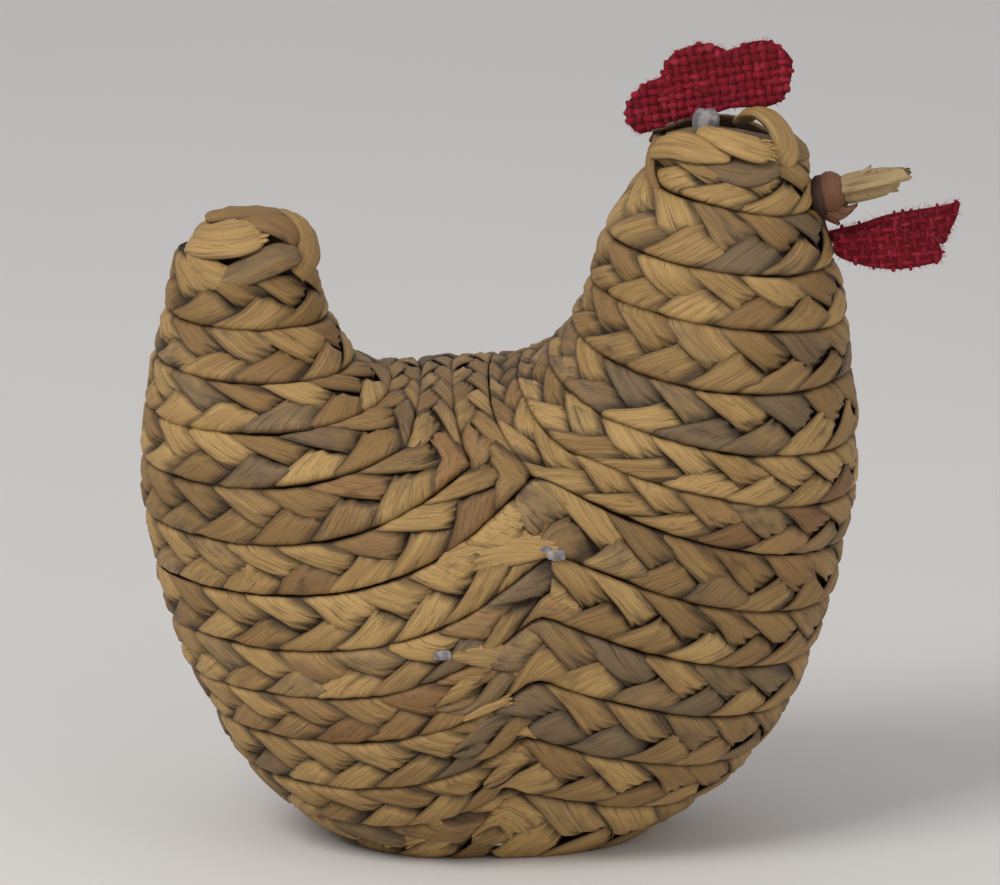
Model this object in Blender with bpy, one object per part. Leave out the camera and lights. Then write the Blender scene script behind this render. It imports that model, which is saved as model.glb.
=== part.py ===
"""Plaited leaf hen: lengths of flat three-strand plait wound on a padded form.

X runs from the tail (left) to the beak (right), -Y is the front and +Z is up. The origin is the
middle of the flat underside. The whole skin is three families of course lines: the tail's and
the neck's lines close over the back and meet along a seam, and the body's lines run below them.
A point of the skin is found from a course line number and an angle round the form, and every
plait, and the form under it, is laid out in those two numbers.
"""

from math import cos, pi, radians, sin

import bmesh
import bpy
import numpy as np
from mathutils import Matrix, Vector

MM = 0.001
CLEARANCE = 0.35 * MM  # between pieces that touch

# The plait
LOBE_PITCH = 14.0 * MM  # from one lobe to the next on the same edge
PLAIT_DEPTH = 3.4 * MM  # from the skin line down to the plait's inner face
LOBE_RISE = 0.9 * MM  # top of a lobe above the skin line
DIP_RISE = 0.4 * MM  # bottom of the dip between two lobes
EDGE_RISE = -0.4 * MM  # the folded edge
MIDDLE_RISE = -0.7 * MM  # the valley where the two rows of lobes cross
EDGE_SHARE = 0.04  # part of a course left open at each edge, between neighbours
LOBE_SHARE = 0.21  # where a row of lobes lies across the course
LOBE_SLANT = 0.3  # how far an edge trails behind the middle, in lobe pitches
FORM_CLEARANCE = 0.9 * MM  # padding between the form and the plaits

# Course lines of the tail from its tip down: left end x and z, right end x and z, half depth,
# all in millimetres, and the power with which the line climbs.
TAIL_LINES = (
    (-74.5, 141.6, -42.8, 138.0, 15.5, 1.0),
    (-77.3, 127.7, -39.0, 126.3, 19.5, 1.0),
    (-79.9, 116.4, -32.7, 115.6, 26.0, 1.2),
    (-81.8, 104.6, -24.2, 110.0, 33.5, 2.2),
    (-82.7, 92.0, -17.4, 110.9, 41.0, 3.0),
    (-81.8, 77.9, -10.0, 111.2, 46.0, 3.4),
    (-79.4, 64.5, -1.6, 111.2, 48.0, 3.8),
)
# The same for the neck, from the crown down.
NECK_LINES = (
    (36.9, 169.6, 73.1, 164.2, 17.0, 1.0),
    (35.3, 160.6, 74.7, 152.5, 21.0, 1.0),
    (26.1, 146.5, 79.4, 139.2, 26.5, 1.0),
    (22.3, 135.0, 82.3, 125.8, 28.5, 1.1),
    (17.8, 124.5, 83.2, 113.0, 33.0, 2.2),
    (12.0, 117.2, 84.4, 97.3, 40.0, 1.8),
    (5.0, 112.8, 84.6, 83.9, 45.5, 1.6),
    (-1.6, 111.2, 81.8, 70.6, 48.0, 1.6),
)
# Course lines of the body from the seam down: left end x and z, right end x and z, peak x and z
# at the front, and half depth, in millimetres.
BODY_LINES = (
    (-79.4, 64.5, 81.8, 70.6, 8.9, 97.6, 48.0),
    (-75.9, 51.8, 78.7, 57.2, 13.0, 80.2, 48.5),
    (-71.7, 40.6, 74.5, 44.3, 10.0, 64.7, 48.3),
    (-65.8, 30.0, 69.5, 32.8, 9.5, 49.0, 47.0),
    (-58.8, 18.4, 61.1, 21.2, 7.0, 34.4, 44.0),
    (-48.2, 8.4, 50.0, 11.0, 3.0, 20.0, 38.0),
    (-33.0, -1.2, 29.0, -1.2, -2.0, -1.2, 23.0),
)
CLIMB_LEFT = 3.4  # power with which a body line climbs to its peak from the left
CLIMB_RIGHT = 1.6  # and from the right
CLIMB_PAST = 1.3  # how far each side's climb is followed past the peak, to round it
PEAK_SOFTNESS = 0.06  # rounding of the peak, as a share of its height
PEAK_TUCK = 0.094  # how far the top line's peak leans in, as a share of the half depth
TAIL_JOIN = 0.706 * pi  # angle on the tail's last line where the seam starts
NECK_JOIN = 0.324 * pi  # the same on the neck's
# How far each line takes the shape of the last one, which runs over the seam.
TAIL_BLEND = (0.0, 0.0, 0.0, 0.12, 0.45, 0.78, 1.0)
NECK_BLEND = (0.0, 0.0, 0.0, 0.0, 0.10, 0.38, 0.72, 1.0)
SEAM_SHARE = 0.1  # part of a course left open beside the seam
PLAIT_TAPER = 0.27  # part of a turn that a wound plait's thin end leaves open

# Ends of the two horns, each closed by one turn of plait round a knotted middle
TAIL_CAP_TOP = 150.0 * MM
HEAD_CAP_TOP = 169.4 * MM
CAP_INNER = 0.36  # line of a cap on which the turn's inner edge lies
CROWN_DEPTH = 1.6 * MM  # thinner plait on the flat crown
CAP_START = 0.6 * pi  # angle of the turn's ends
BUTTON_SHARE = 0.96  # edge of a knotted middle, as a share of the turn's inner line
BUTTON_SIDES = 12
JOINT_GAP = 0.002  # part of a turn left open between butted ends

# Strand that arches over the right of the crown
LOOP_CENTRE = (61.4 * MM, -3.0 * MM, 167.7 * MM)
LOOP_HALF_LENGTH = 9.4 * MM
LOOP_HEIGHT = 6.2 * MM
LOOP_FIRST = radians(-6)
LOOP_LAST = radians(140)
LOOP_STEPS = 12
STRAND_WIDTH = 8.0 * MM
STRAND_THICKNESS = 2.6 * MM
STRAND_SIDES = 8

# Padded form: its steps round each family's three stretches
FORM_LEFT = 11
FORM_RIGHT = 10
FORM_OVER = 5
FORM_CAP_DROP = 2.2 * MM  # how much lower its two tips are than the caps over them
FORM_RIM = 0.3  # course line at which its tips start to close

# Underside
BASE_THICKNESS = 3.6 * MM
BASE_HALF_LENGTH = 27.0 * MM
BASE_HALF_DEPTH = 18.6 * MM
BASE_CENTRE_X = -2.0 * MM
BASE_GROOVE = 1.0 * MM
BASE_TURNS = 2
BASE_GROOVE_HALF = 0.06  # half a groove's width, as a share of the oval
BASE_SIDES = 28

# Comb, in the plane Y = 0: points round its edge, x and z in millimetres
COMB_EDGE = (
    (30.7, 175.6), (34.3, 181.0), (39.0, 183.6), (41.4, 188.6), (48.0, 191.2), (53.4, 190.0),
    (55.2, 188.6), (58.6, 191.2), (64.4, 191.8), (69.4, 187.6), (68.6, 180.0), (64.6, 176.3),
    (55.0, 175.8), (47.6, 174.0), (41.4, 172.4), (35.0, 170.3), (31.8, 171.5),
)
COMB_THICKNESS = 2.0 * MM
COMB_STEPS = 3  # steps between two of its points
GLUE_CENTRE = (49.7 * MM, -3.0 * MM, 173.2 * MM)
GLUE_HALF_SIZE = (3.0 * MM, 1.6 * MM, 2.5 * MM)

# Beak, at the right end of a line of the neck
BEAK_TILT = radians(12)
BEAK_LINE = 0.78
BEAK_Y = -1.0 * MM
KNOT_RADIUS = 4.3 * MM
KNOT_GAP = 0.5 * MM  # from the skin line out to the knot, which leans on a lobe
STEM_RADIUS = 3.7 * MM
STEM_LENGTH = 14.5 * MM
STEM_PROFILE = ((0.0, 0.8), (0.08, 0.98), (0.5, 1.0), (0.72, 0.86), (0.86, 0.66), (1.0, 0.5))

# Wattle leaves: points round the edge in millimetres, x out from the neck and z from their root
WATTLE_LINE = 1.62
FRONT_LEAF = (
    (0.0, -0.6), (1.4, -4.2), (8.6, -7.5), (16.2, -8.1), (23.4, -6.5), (27.4, -5.1),
    (26.6, -0.9), (24.2, 1.1), (20.2, 1.1), (13.8, 2.3), (8.4, 1.5), (1.6, 1.2),
)
BACK_LEAF = (
    (0.0, 1.4), (7.0, 3.3), (13.6, 5.5), (20.4, 6.7), (27.4, 7.9), (30.6, 8.7),
    (30.0, 4.9), (28.2, 1.3), (26.6, -1.5), (18.0, -0.3), (10.0, -0.7), (1.2, -1.2),
)
LEAF_THICKNESS = 1.3 * MM
LEAF_STEPS = 2
LEAF_SEAT = 1.4 * MM  # root of the leaves out from the skin line of the neck
FRONT_LEAF_Y = -1.6 * MM
BACK_LEAF_Y = FRONT_LEAF_Y + LEAF_THICKNESS + CLEARANCE

ROUND_SIDES = 16
SAMPLES = 64  # steps of a turn when a course's length is measured
NUDGE = 1e-3  # step in line number and angle for the skin's slope

STRAW = (0.45, 0.27, 0.11, 1.0)
DARK_STRAW = (0.16, 0.08, 0.035, 1.0)
PALE_STRAW = (0.52, 0.36, 0.19, 1.0)
FORM = (0.34, 0.25, 0.17, 1.0)
RED = (0.31, 0.015, 0.035, 1.0)
GLUE = (0.62, 0.58, 0.60, 1.0)


def between(table, t):
    """Values of the table at a fractional row, on a smooth curve through its rows."""
    rows = np.asarray(table, float)
    if rows.ndim == 1:
        rows = rows[:, None]
    last = len(rows) - 1
    t = np.clip(np.asarray(t, float), 0, last)
    i = np.minimum(t.astype(int), last - 1)
    f = (t - i)[..., None]
    ends = np.concatenate([2 * rows[:1] - rows[1:2], rows, 2 * rows[-1:] - rows[-2:-1]])
    a, b, c, d = ends[i], ends[i + 1], ends[i + 2], ends[i + 3]
    curve = 2 * b + (c - a) * f + (2 * a - 5 * b + 4 * c - d) * f**2
    return 0.5 * (curve + (3 * b - a - 3 * c + d) * f**3)


def peak_angle():
    """Angle on the body's top line at which it peaks."""
    left, _, right, _, peak = BODY_LINES[0][:5]
    return np.arccos((left + right - 2 * peak) / (right - left))


def softer(a, b, soft):
    """The lower of two curves, rounded where they cross."""
    return (a + b) / 2 - np.hypot((a - b) / 2, soft)


def body_front(t, angle):
    """Front half of body line t, from its left end at angle 0 to its right end at pi."""
    lx, lz, rx, rz, px, pz, depth = np.moveaxis(between(BODY_LINES, t), -1, 0)
    x = (lx + rx) / 2 - (rx - lx) / 2 * np.cos(angle)
    left = np.clip((x - lx) / (px - lx), 0, CLIMB_PAST) ** CLIMB_LEFT
    right = np.clip((rx - x) / (rx - px), 0, CLIMB_PAST) ** CLIMB_RIGHT
    soft = PEAK_SOFTNESS * (pz - (lz + rz) / 2)
    z = soft + softer(lz + (pz - lz) * left, rz + (pz - rz) * right, soft)
    tuck = PEAK_TUCK * np.clip(1 - np.asarray(t, float), 0, 1)
    y = -depth * np.sin(angle) * (1 - tuck * softer(left, right, PEAK_SOFTNESS))
    return np.stack([x, y, z], -1)


def seam_front(f):
    """Front half of the seam, from the body's peak at f = 0 to the top of the back at 1."""
    peak_x, peak_z = BODY_LINES[0][4:6]
    top_x, top_z = TAIL_LINES[-1][2:4]
    start = body_front(0.0, peak_angle())
    turn = f * pi / 2
    x = top_x + (peak_x - top_x) * (1 - f) ** 2.2
    y = start[..., 1] * np.cos(turn) ** 0.9
    z = peak_z + (top_z - peak_z) * np.sin(turn) ** 0.8
    return np.stack([x, y, z], -1)


def tail_last(angle):
    """Front half of the tail's last line: the body's top line to its peak, then the seam."""
    left = body_front(0.0, np.clip(angle / TAIL_JOIN, 0, 1) * peak_angle())
    over = seam_front(np.clip((angle - TAIL_JOIN) / (pi - TAIL_JOIN), 0, 1))
    return np.where((angle < TAIL_JOIN)[..., None], left, over)


def neck_last(angle):
    """Front half of the neck's last line: down the seam, then the body's top line."""
    over = seam_front(np.clip(1 - angle / NECK_JOIN, 0, 1))
    f = np.clip((angle - NECK_JOIN) / (pi - NECK_JOIN), 0, 1)
    right = body_front(0.0, peak_angle() + f * (pi - peak_angle()))
    return np.where((angle < NECK_JOIN)[..., None], over, right)


def fold_back(angle):
    """The matching front angle, and whether the angle lies on the back half."""
    angle = np.mod(angle, 2 * pi)
    return np.where(angle > pi, 2 * pi - angle, angle), angle > pi


def horn(lines, blend, last_line, falls, t, angle):
    """Point of a horn's skin. Each line is a tilted ellipse blended into the last line's shape."""
    front, back = fold_back(angle)
    lx, lz, rx, rz, depth, climb = np.moveaxis(between(lines, t), -1, 0)
    share = np.clip(between(blend, t)[..., 0], 0, 1)
    end_lx, end_lz, end_rx, end_rz, end_depth, _ = lines[-1]
    goal = last_line(front)
    along = (1 - np.cos(front)) / 2
    rise = 1 - (1 - along) ** climb if falls else along**climb
    x_share = along + share * ((goal[..., 0] - end_lx) / (end_rx - end_lx) - along)
    y_share = np.sin(front) + share * (-goal[..., 1] / end_depth - np.sin(front))
    z_share = rise + share * ((goal[..., 2] - end_lz) / (end_rz - end_lz) - rise)
    y = -depth * y_share
    return np.stack([lx + (rx - lx) * x_share, np.where(back, -y, y), lz + (rz - lz) * z_share], -1)


def tail(t, angle):
    t, angle = np.broadcast_arrays(np.asarray(t, float), np.asarray(angle, float))
    return MM * horn(TAIL_LINES, TAIL_BLEND, tail_last, False, t, angle)


def neck(t, angle):
    t, angle = np.broadcast_arrays(np.asarray(t, float), np.asarray(angle, float))
    return MM * horn(NECK_LINES, NECK_BLEND, neck_last, True, t, angle)


def body(t, angle):
    t, angle = np.broadcast_arrays(np.asarray(t, float), np.asarray(angle, float))
    front, back = fold_back(angle)
    point = body_front(t, front)
    point[..., 1] = np.where(back, -point[..., 1], point[..., 1])
    return MM * point


def lifted(skin, t, angle, height):
    """The skin's point moved out along its slope's normal."""
    down = skin(t + NUDGE, angle) - skin(t - NUDGE, angle)
    along = skin(t, angle + NUDGE) - skin(t, angle - NUDGE)
    normal = np.cross(down, along)
    normal /= np.linalg.norm(normal, axis=-1, keepdims=True)
    return skin(t, angle) + normal * np.asarray(height)[..., None]


def wound(last):
    """Route of a plait wound down a horn: it drops one line each turn, all of it on the back."""

    def route(turn, across):
        whole = np.floor(turn)
        angle = 2 * pi * (turn - whole)
        line = whole + across
        drop = np.where(angle > pi, (1 + np.cos(angle)) / 2, 0)
        t = line + drop * np.clip(last - line, 0, 1)
        t = np.where(line < 0, (1 + line) * drop, t)
        return np.minimum(t, last - SEAM_SHARE), angle

    return route


def ring(line):
    """Route of a plait once round the body, with both ends at the front peak."""
    peaks = between(BODY_LINES, line + 0.5)
    lx, _, rx, _, px = peaks[:5]
    start = np.arccos((lx + rx - 2 * px) / (rx - lx))

    def route(turn, across):
        return line + across, start + 2 * pi * turn

    return route


def ring_of_faces(stations, points):
    """Quads between each station's loop of points and the next, and a face over each end."""
    faces = []
    for s in range(stations - 1):
        for p in range(points):
            a = s * points + p
            b = s * points + (p + 1) % points
            faces.append((a, b, b + points, a + points))
    faces.append(tuple(range(points))[::-1])
    faces.append(tuple((stations - 1) * points + p for p in range(points)))
    return faces


def plait_mesh(skin, route, first, last, depth=PLAIT_DEPTH):
    """A flat plait: two staggered rows of slanting lobes along the route, between two turns."""
    turns = np.linspace(first, last, int(SAMPLES * (last - first)) + 1)
    middle = skin(*route(turns, 0.5))
    length = np.concatenate([[0], np.cumsum(np.linalg.norm(np.diff(middle, axis=0), axis=1))])
    steps = max(4, 2 * round(length[-1] / LOBE_PITCH))
    place = np.linspace(0, length[-1], steps + 1)
    upper = np.where(np.arange(steps + 1) % 2 == 0, LOBE_RISE, DIP_RISE)
    lower = LOBE_RISE + DIP_RISE - upper
    flat = np.ones(steps + 1)
    section = (
        (EDGE_SHARE, EDGE_RISE * flat, -LOBE_SLANT),
        (LOBE_SHARE, upper, 0.0),
        (0.5, MIDDLE_RISE * flat, LOBE_SLANT),
        (1 - LOBE_SHARE, lower, 0.0),
        (1 - EDGE_SHARE, EDGE_RISE * flat, -LOBE_SLANT),
        (0.5, -depth * flat, 0.0),
    )
    loops = []
    for across, height, trail in section:
        at = np.clip(place + trail * LOBE_PITCH, 0, length[-1])
        at[[0, -1]] = 0, length[-1]
        t, angle = route(np.interp(at, length, turns), across)
        loops.append(lifted(skin, t, angle, height))
    points = np.stack(loops, 1).reshape(-1, 3)
    points[:, 2] = np.maximum(points[:, 2], 0)
    return points, ring_of_faces(steps + 1, len(section))


def add_mesh(name, points, faces, colour, roughness, smooth_within=radians(60)):
    """A closed body from points and faces, its faces turned out, with a material of its own."""
    mesh = bpy.data.meshes.new(name)
    work = bmesh.new()
    corners = [work.verts.new(point) for point in points]
    for face in faces:
        work.faces.new([corners[i] for i in face])
    bmesh.ops.remove_doubles(work, verts=work.verts, dist=1e-6)
    bmesh.ops.recalc_face_normals(work, faces=work.faces)
    bmesh.ops.triangulate(work, faces=work.faces)
    if work.calc_volume(signed=True) < 0:
        bmesh.ops.reverse_faces(work, faces=work.faces)
    work.to_mesh(mesh)
    work.free()
    mesh.shade_smooth()
    mesh.set_sharp_from_angle(angle=smooth_within)
    material = bpy.data.materials.new(name)
    material.use_nodes = True
    shader = material.node_tree.nodes["Principled BSDF"]
    shader.inputs["Base Color"].default_value = colour
    shader.inputs["Roughness"].default_value = roughness
    shader.inputs["Metallic"].default_value = 0.0
    mesh.materials.append(material)
    piece = bpy.data.objects.new(name, mesh)
    bpy.context.scene.collection.objects.link(piece)
    return piece


def cap(skin, top):
    """Skin of a dome that closes a horn: line 0 is its pole and line 1 the horn's first line."""
    rim = skin(0.0, np.linspace(0, 2 * pi, SAMPLES, endpoint=False))
    centre = rim.mean(axis=0)
    height = np.array([0, 0, top - centre[2]])

    def dome(t, angle):
        turn = np.asarray(t, float)[..., None] * pi / 2
        return centre + (skin(0.0, angle) - centre) * np.sin(turn) + height * np.cos(turn)

    return dome


def cap_turn(inner):
    """Route once round a cap, between its rim and the inner line, with both ends at the back."""

    def route(turn, across):
        return 1 - (1 - inner) * across, CAP_START + 2 * pi * turn

    return route


def domed_button(skin, outer, depth, sides, rise):
    """Closed button on a cap's pole: a dome out to the outer line, and a flat face under it."""
    around = np.linspace(0, 2 * pi, sides, endpoint=False)
    rows = [lifted(skin, line, around, np.full(sides, height)) for line, height in (
        (outer, -depth), (outer, -depth / 2), (outer * 0.75, rise), (outer * 0.35, rise))]
    points = np.concatenate(rows)
    faces = ring_of_faces(len(rows), sides)
    return points, faces


def form_mesh():
    """The padded form under the plaits: the skin of all three families, moved in."""
    left = np.linspace(0, 1, FORM_LEFT, endpoint=False)
    right = np.linspace(0, 1, FORM_RIGHT, endpoint=False)
    over = np.linspace(0, 1, FORM_OVER, endpoint=False)
    peak = peak_angle()
    halves = (
        (tail, TAIL_LINES, TAIL_CAP_TOP, [left * TAIL_JOIN, TAIL_JOIN + over * (pi - TAIL_JOIN)]),
        (neck, NECK_LINES, HEAD_CAP_TOP, [over * NECK_JOIN, NECK_JOIN + right * (pi - NECK_JOIN)]),
        (body, BODY_LINES, None, [left * peak, peak + right * (pi - peak)]),
    )
    work = bmesh.new()
    for skin, lines, top, angles in halves:
        front = np.concatenate([*angles, [pi]])
        angle = np.concatenate([front, 2 * pi - front[-2:0:-1]])
        rows = [skin(float(line), angle) for line in range(len(lines))]
        if top:
            dome = cap(skin, top - FORM_CAP_DROP)
            rows = [dome(0.0, 0.0)[None], dome(0.6, angle), skin(FORM_RIM, angle), *rows[1:]]
        else:
            rows.append(rows[-1].mean(axis=0)[None])
        loops = [[work.verts.new(point) for point in row] for row in rows]
        for upper, lower in zip(loops, loops[1:]):
            for i in range(len(angle)):
                j = (i + 1) % len(angle)
                corners = [upper[i % len(upper)], lower[i % len(lower)]]
                corners += [lower[j % len(lower)], upper[j % len(upper)]]
                work.faces.new(list(dict.fromkeys(corners)))
    bmesh.ops.remove_doubles(work, verts=work.verts, dist=1e-6)
    bmesh.ops.recalc_face_normals(work, faces=work.faces)
    work.normal_update()
    for corner in work.verts:
        corner.co -= corner.normal * (PLAIT_DEPTH + FORM_CLEARANCE)
        corner.co.z = max(corner.co.z, BASE_THICKNESS + CLEARANCE)
    work.verts.index_update()
    points = np.array([corner.co[:] for corner in work.verts])
    faces = [[corner.index for corner in face.verts] for face in work.faces]
    work.free()
    return points, faces


def base_mesh():
    """Flat underside: an oval of plait turns pressed flat on the ground, with grooves between."""
    around = np.linspace(0, 2 * pi, BASE_SIDES, endpoint=False)
    oval = np.stack([BASE_HALF_LENGTH * np.cos(around), BASE_HALF_DEPTH * np.sin(around)], -1)
    profile = []
    for turn in range(BASE_TURNS):
        edge = (turn + 0.7) / (BASE_TURNS + 0.7)
        profile += [(edge - BASE_GROOVE_HALF, 0.0), (edge, BASE_GROOVE), (edge + BASE_GROOVE_HALF, 0.0)]
    profile += [(0.96, 0.0), (1.0, BASE_GROOVE), (1.0, BASE_THICKNESS)]
    rows = [np.column_stack([oval * share + (BASE_CENTRE_X, 0), np.full(BASE_SIDES, z)])
            for share, z in profile]
    return np.concatenate(rows), ring_of_faces(len(rows), BASE_SIDES)


def turned(profile, sides, axis_tilt, place):
    """Round solid about a tilted axis: profile gives the distance along the axis and the radius."""
    around = np.linspace(0, 2 * pi, sides, endpoint=False)
    rows = [np.column_stack([np.full(sides, along), radius * np.cos(around), radius * np.sin(around)])
            for along, radius in profile]
    turn = np.array(Matrix.Rotation(-axis_tilt, 3, "Y"))
    return np.concatenate(rows) @ turn.T + np.asarray(place), ring_of_faces(len(rows), sides)


def ball_profile(radius, rows):
    """Profile of a ball, its poles left as small flats."""
    turns = np.linspace(radians(12), radians(168), rows)
    return [(-radius * cos(turn), radius * sin(turn)) for turn in turns]


def outline(points, steps, origin=(0, 0)):
    """Closed smooth curve through the points, in metres, set off by the origin."""
    rows = np.asarray(points, float) * MM + origin
    closed = np.concatenate([rows, rows[:1]])
    padded = np.concatenate([rows[-1:], closed, rows[1:2]])
    at = np.arange(len(rows) * steps) / steps + 1
    return between(padded, at)


def cut_leaf(edge, middle_y, thickness):
    """Flat piece of cloth in the plane Y = middle_y, between a front and a back face."""
    rows = [np.column_stack([edge[:, 0], np.full(len(edge), y), edge[:, 1]])
            for y in (middle_y - thickness / 2, middle_y + thickness / 2)]
    return np.concatenate(rows), ring_of_faces(2, len(edge))


def arched_strand(centre, half_length, height, thickness, width, first, last, steps):
    """A flat strand bent into an arch in the plane Y = constant, its section an oval."""
    around = np.linspace(0, 2 * pi, STRAND_SIDES, endpoint=False)
    loops = []
    for turn in np.linspace(first, last, steps):
        out = Vector((cos(turn) / half_length, 0, sin(turn) / height)).normalized()
        foot = Vector((half_length * cos(turn), 0, height * sin(turn))) + Vector(centre)
        across = np.array([0, width / 2, 0])
        loops.append(np.array(foot) + np.outer(np.cos(around), across)
                     + np.outer(np.sin(around) * thickness / 2, np.array(out)))
    return np.concatenate(loops), ring_of_faces(steps, STRAND_SIDES)


def glue_mesh():
    """Squeezed blob of glue between the crown and the front of the comb."""
    points, faces = turned(ball_profile(1.0, 7), 12, 0.0, (0, 0, 0))
    return points * np.array(GLUE_HALF_SIZE) + np.array(GLUE_CENTRE), faces


def stem_mesh(knot):
    """The beak: a rolled leaf stub on the same tilted axis as the knot, thinner at its torn tip."""
    start = KNOT_RADIUS + CLEARANCE
    profile = [(start + share * STEM_LENGTH, STEM_RADIUS * radius) for share, radius in STEM_PROFILE]
    return turned(profile, ROUND_SIDES, BEAK_TILT, knot)


def main():
    for old in list(bpy.data.objects):
        bpy.data.objects.remove(old, do_unlink=True)
    add_mesh("padded_form", *form_mesh(), FORM, 0.9)

    tail_turns = len(TAIL_LINES) - 1
    neck_turns = len(NECK_LINES) - 1
    ends = -0.5 + PLAIT_TAPER, 0.5 - PLAIT_TAPER
    add_mesh("tail_plait", *plait_mesh(tail, wound(tail_turns), ends[0], tail_turns - 0.5 + ends[1]),
             STRAW, 0.55)
    add_mesh("neck_plait", *plait_mesh(neck, wound(neck_turns), ends[0], neck_turns - 0.5 + ends[1]),
             STRAW, 0.55)
    for line in range(len(BODY_LINES) - 1):
        add_mesh(f"body_plait_{line + 1}", *plait_mesh(body, ring(line), JOINT_GAP, 1 - JOINT_GAP),
                 STRAW, 0.55)
    add_mesh("base_coil", *base_mesh(), DARK_STRAW, 0.7)

    tail_dome = cap(tail, TAIL_CAP_TOP)
    crown_dome = cap(neck, HEAD_CAP_TOP)
    add_mesh("tail_cap_plait", *plait_mesh(tail_dome, cap_turn(CAP_INNER), JOINT_GAP, 1 - JOINT_GAP),
             STRAW, 0.55)
    add_mesh("tail_tip_knot", *domed_button(tail_dome, CAP_INNER * BUTTON_SHARE, PLAIT_DEPTH,
                                            BUTTON_SIDES, LOBE_RISE), STRAW, 0.55)
    add_mesh("crown_plait", *plait_mesh(crown_dome, cap_turn(CAP_INNER), JOINT_GAP, 1 - JOINT_GAP,
                                        CROWN_DEPTH), STRAW, 0.55)
    add_mesh("crown_knot", *domed_button(crown_dome, CAP_INNER * BUTTON_SHARE, PLAIT_DEPTH,
                                         BUTTON_SIDES, 0.0), DARK_STRAW, 0.6)
    add_mesh("crown_loop", *arched_strand(LOOP_CENTRE, LOOP_HALF_LENGTH, LOOP_HEIGHT, STRAND_THICKNESS,
                                          STRAND_WIDTH, LOOP_FIRST, LOOP_LAST, LOOP_STEPS), STRAW, 0.5)

    add_mesh("comb", *cut_leaf(outline(COMB_EDGE, COMB_STEPS), 0.0, COMB_THICKNESS), RED, 0.9)
    add_mesh("comb_glue", *glue_mesh(), GLUE, 0.3)
    knot = neck(BEAK_LINE, pi) + (KNOT_RADIUS + KNOT_GAP, BEAK_Y, 0)
    add_mesh("beak_knot", *turned(ball_profile(KNOT_RADIUS, 8), ROUND_SIDES, BEAK_TILT, knot),
             DARK_STRAW, 0.6)
    add_mesh("beak_stem", *stem_mesh(knot), PALE_STRAW, 0.6)
    root = neck(WATTLE_LINE, pi)[[0, 2]] + (LEAF_SEAT, 0)
    add_mesh("wattle_front", *cut_leaf(outline(FRONT_LEAF, LEAF_STEPS, root), FRONT_LEAF_Y, LEAF_THICKNESS),
             RED, 0.9)
    add_mesh("wattle_back", *cut_leaf(outline(BACK_LEAF, LEAF_STEPS, root), BACK_LEAF_Y, LEAF_THICKNESS),
             RED, 0.9)


main()
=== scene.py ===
"""Dresses the plaited leaf hen: braided strands, woven cloth, beak, glue, and a plain stage.

The plaits follow the same course lines as the solids that they replace. A place on the hen's
skin is given by a course line number t and an angle round the form.
"""

from math import cos, pi, radians, sin

import bpy
import numpy as np
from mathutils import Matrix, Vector


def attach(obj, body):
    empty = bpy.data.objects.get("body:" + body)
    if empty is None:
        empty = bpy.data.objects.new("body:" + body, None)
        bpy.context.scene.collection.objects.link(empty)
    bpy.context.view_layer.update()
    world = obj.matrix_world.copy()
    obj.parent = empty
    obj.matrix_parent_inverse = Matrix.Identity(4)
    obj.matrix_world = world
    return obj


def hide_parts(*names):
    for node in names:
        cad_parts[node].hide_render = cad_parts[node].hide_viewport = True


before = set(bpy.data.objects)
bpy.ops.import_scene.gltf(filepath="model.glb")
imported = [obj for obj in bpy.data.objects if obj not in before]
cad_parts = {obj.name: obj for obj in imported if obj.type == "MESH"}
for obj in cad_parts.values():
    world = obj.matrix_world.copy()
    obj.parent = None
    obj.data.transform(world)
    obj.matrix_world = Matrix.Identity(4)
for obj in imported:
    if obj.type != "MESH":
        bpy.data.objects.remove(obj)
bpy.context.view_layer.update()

bl_info = {
    "name": "Plaited Leaf Hen",
    "version": (1, 0, 0),
    "blender": (4, 5, 0),
    "location": "View3D > Sidebar > Hen",
    "description": "Braids, weaves and finishes a plaited leaf hen on its solid frame",
    "category": "Add Mesh",
}

MM = 0.001
BODY = "root"

# Course lines of the tail and the neck: left end x and z, right end x and z, half depth, all in
# millimetres, and the power with which the line climbs.
TAIL_LINES = (
    (-74.5, 141.6, -42.8, 138.0, 15.5, 1.0),
    (-77.3, 127.7, -39.0, 126.3, 19.5, 1.0),
    (-79.9, 116.4, -32.7, 115.6, 26.0, 1.2),
    (-81.8, 104.6, -24.2, 110.0, 33.5, 2.2),
    (-82.7, 92.0, -17.4, 110.9, 41.0, 3.0),
    (-81.8, 77.9, -10.0, 111.2, 46.0, 3.4),
    (-79.4, 64.5, -1.6, 111.2, 48.0, 3.8),
)
NECK_LINES = (
    (36.9, 169.6, 73.1, 164.2, 17.0, 1.0),
    (35.3, 160.6, 74.7, 152.5, 21.0, 1.0),
    (26.1, 146.5, 79.4, 139.2, 26.5, 1.0),
    (22.3, 135.0, 82.3, 125.8, 28.5, 1.1),
    (17.8, 124.5, 83.2, 113.0, 33.0, 2.2),
    (12.0, 117.2, 84.4, 97.3, 40.0, 1.8),
    (5.0, 112.8, 84.6, 83.9, 45.5, 1.6),
    (-1.6, 111.2, 81.8, 70.6, 48.0, 1.6),
)
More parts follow.
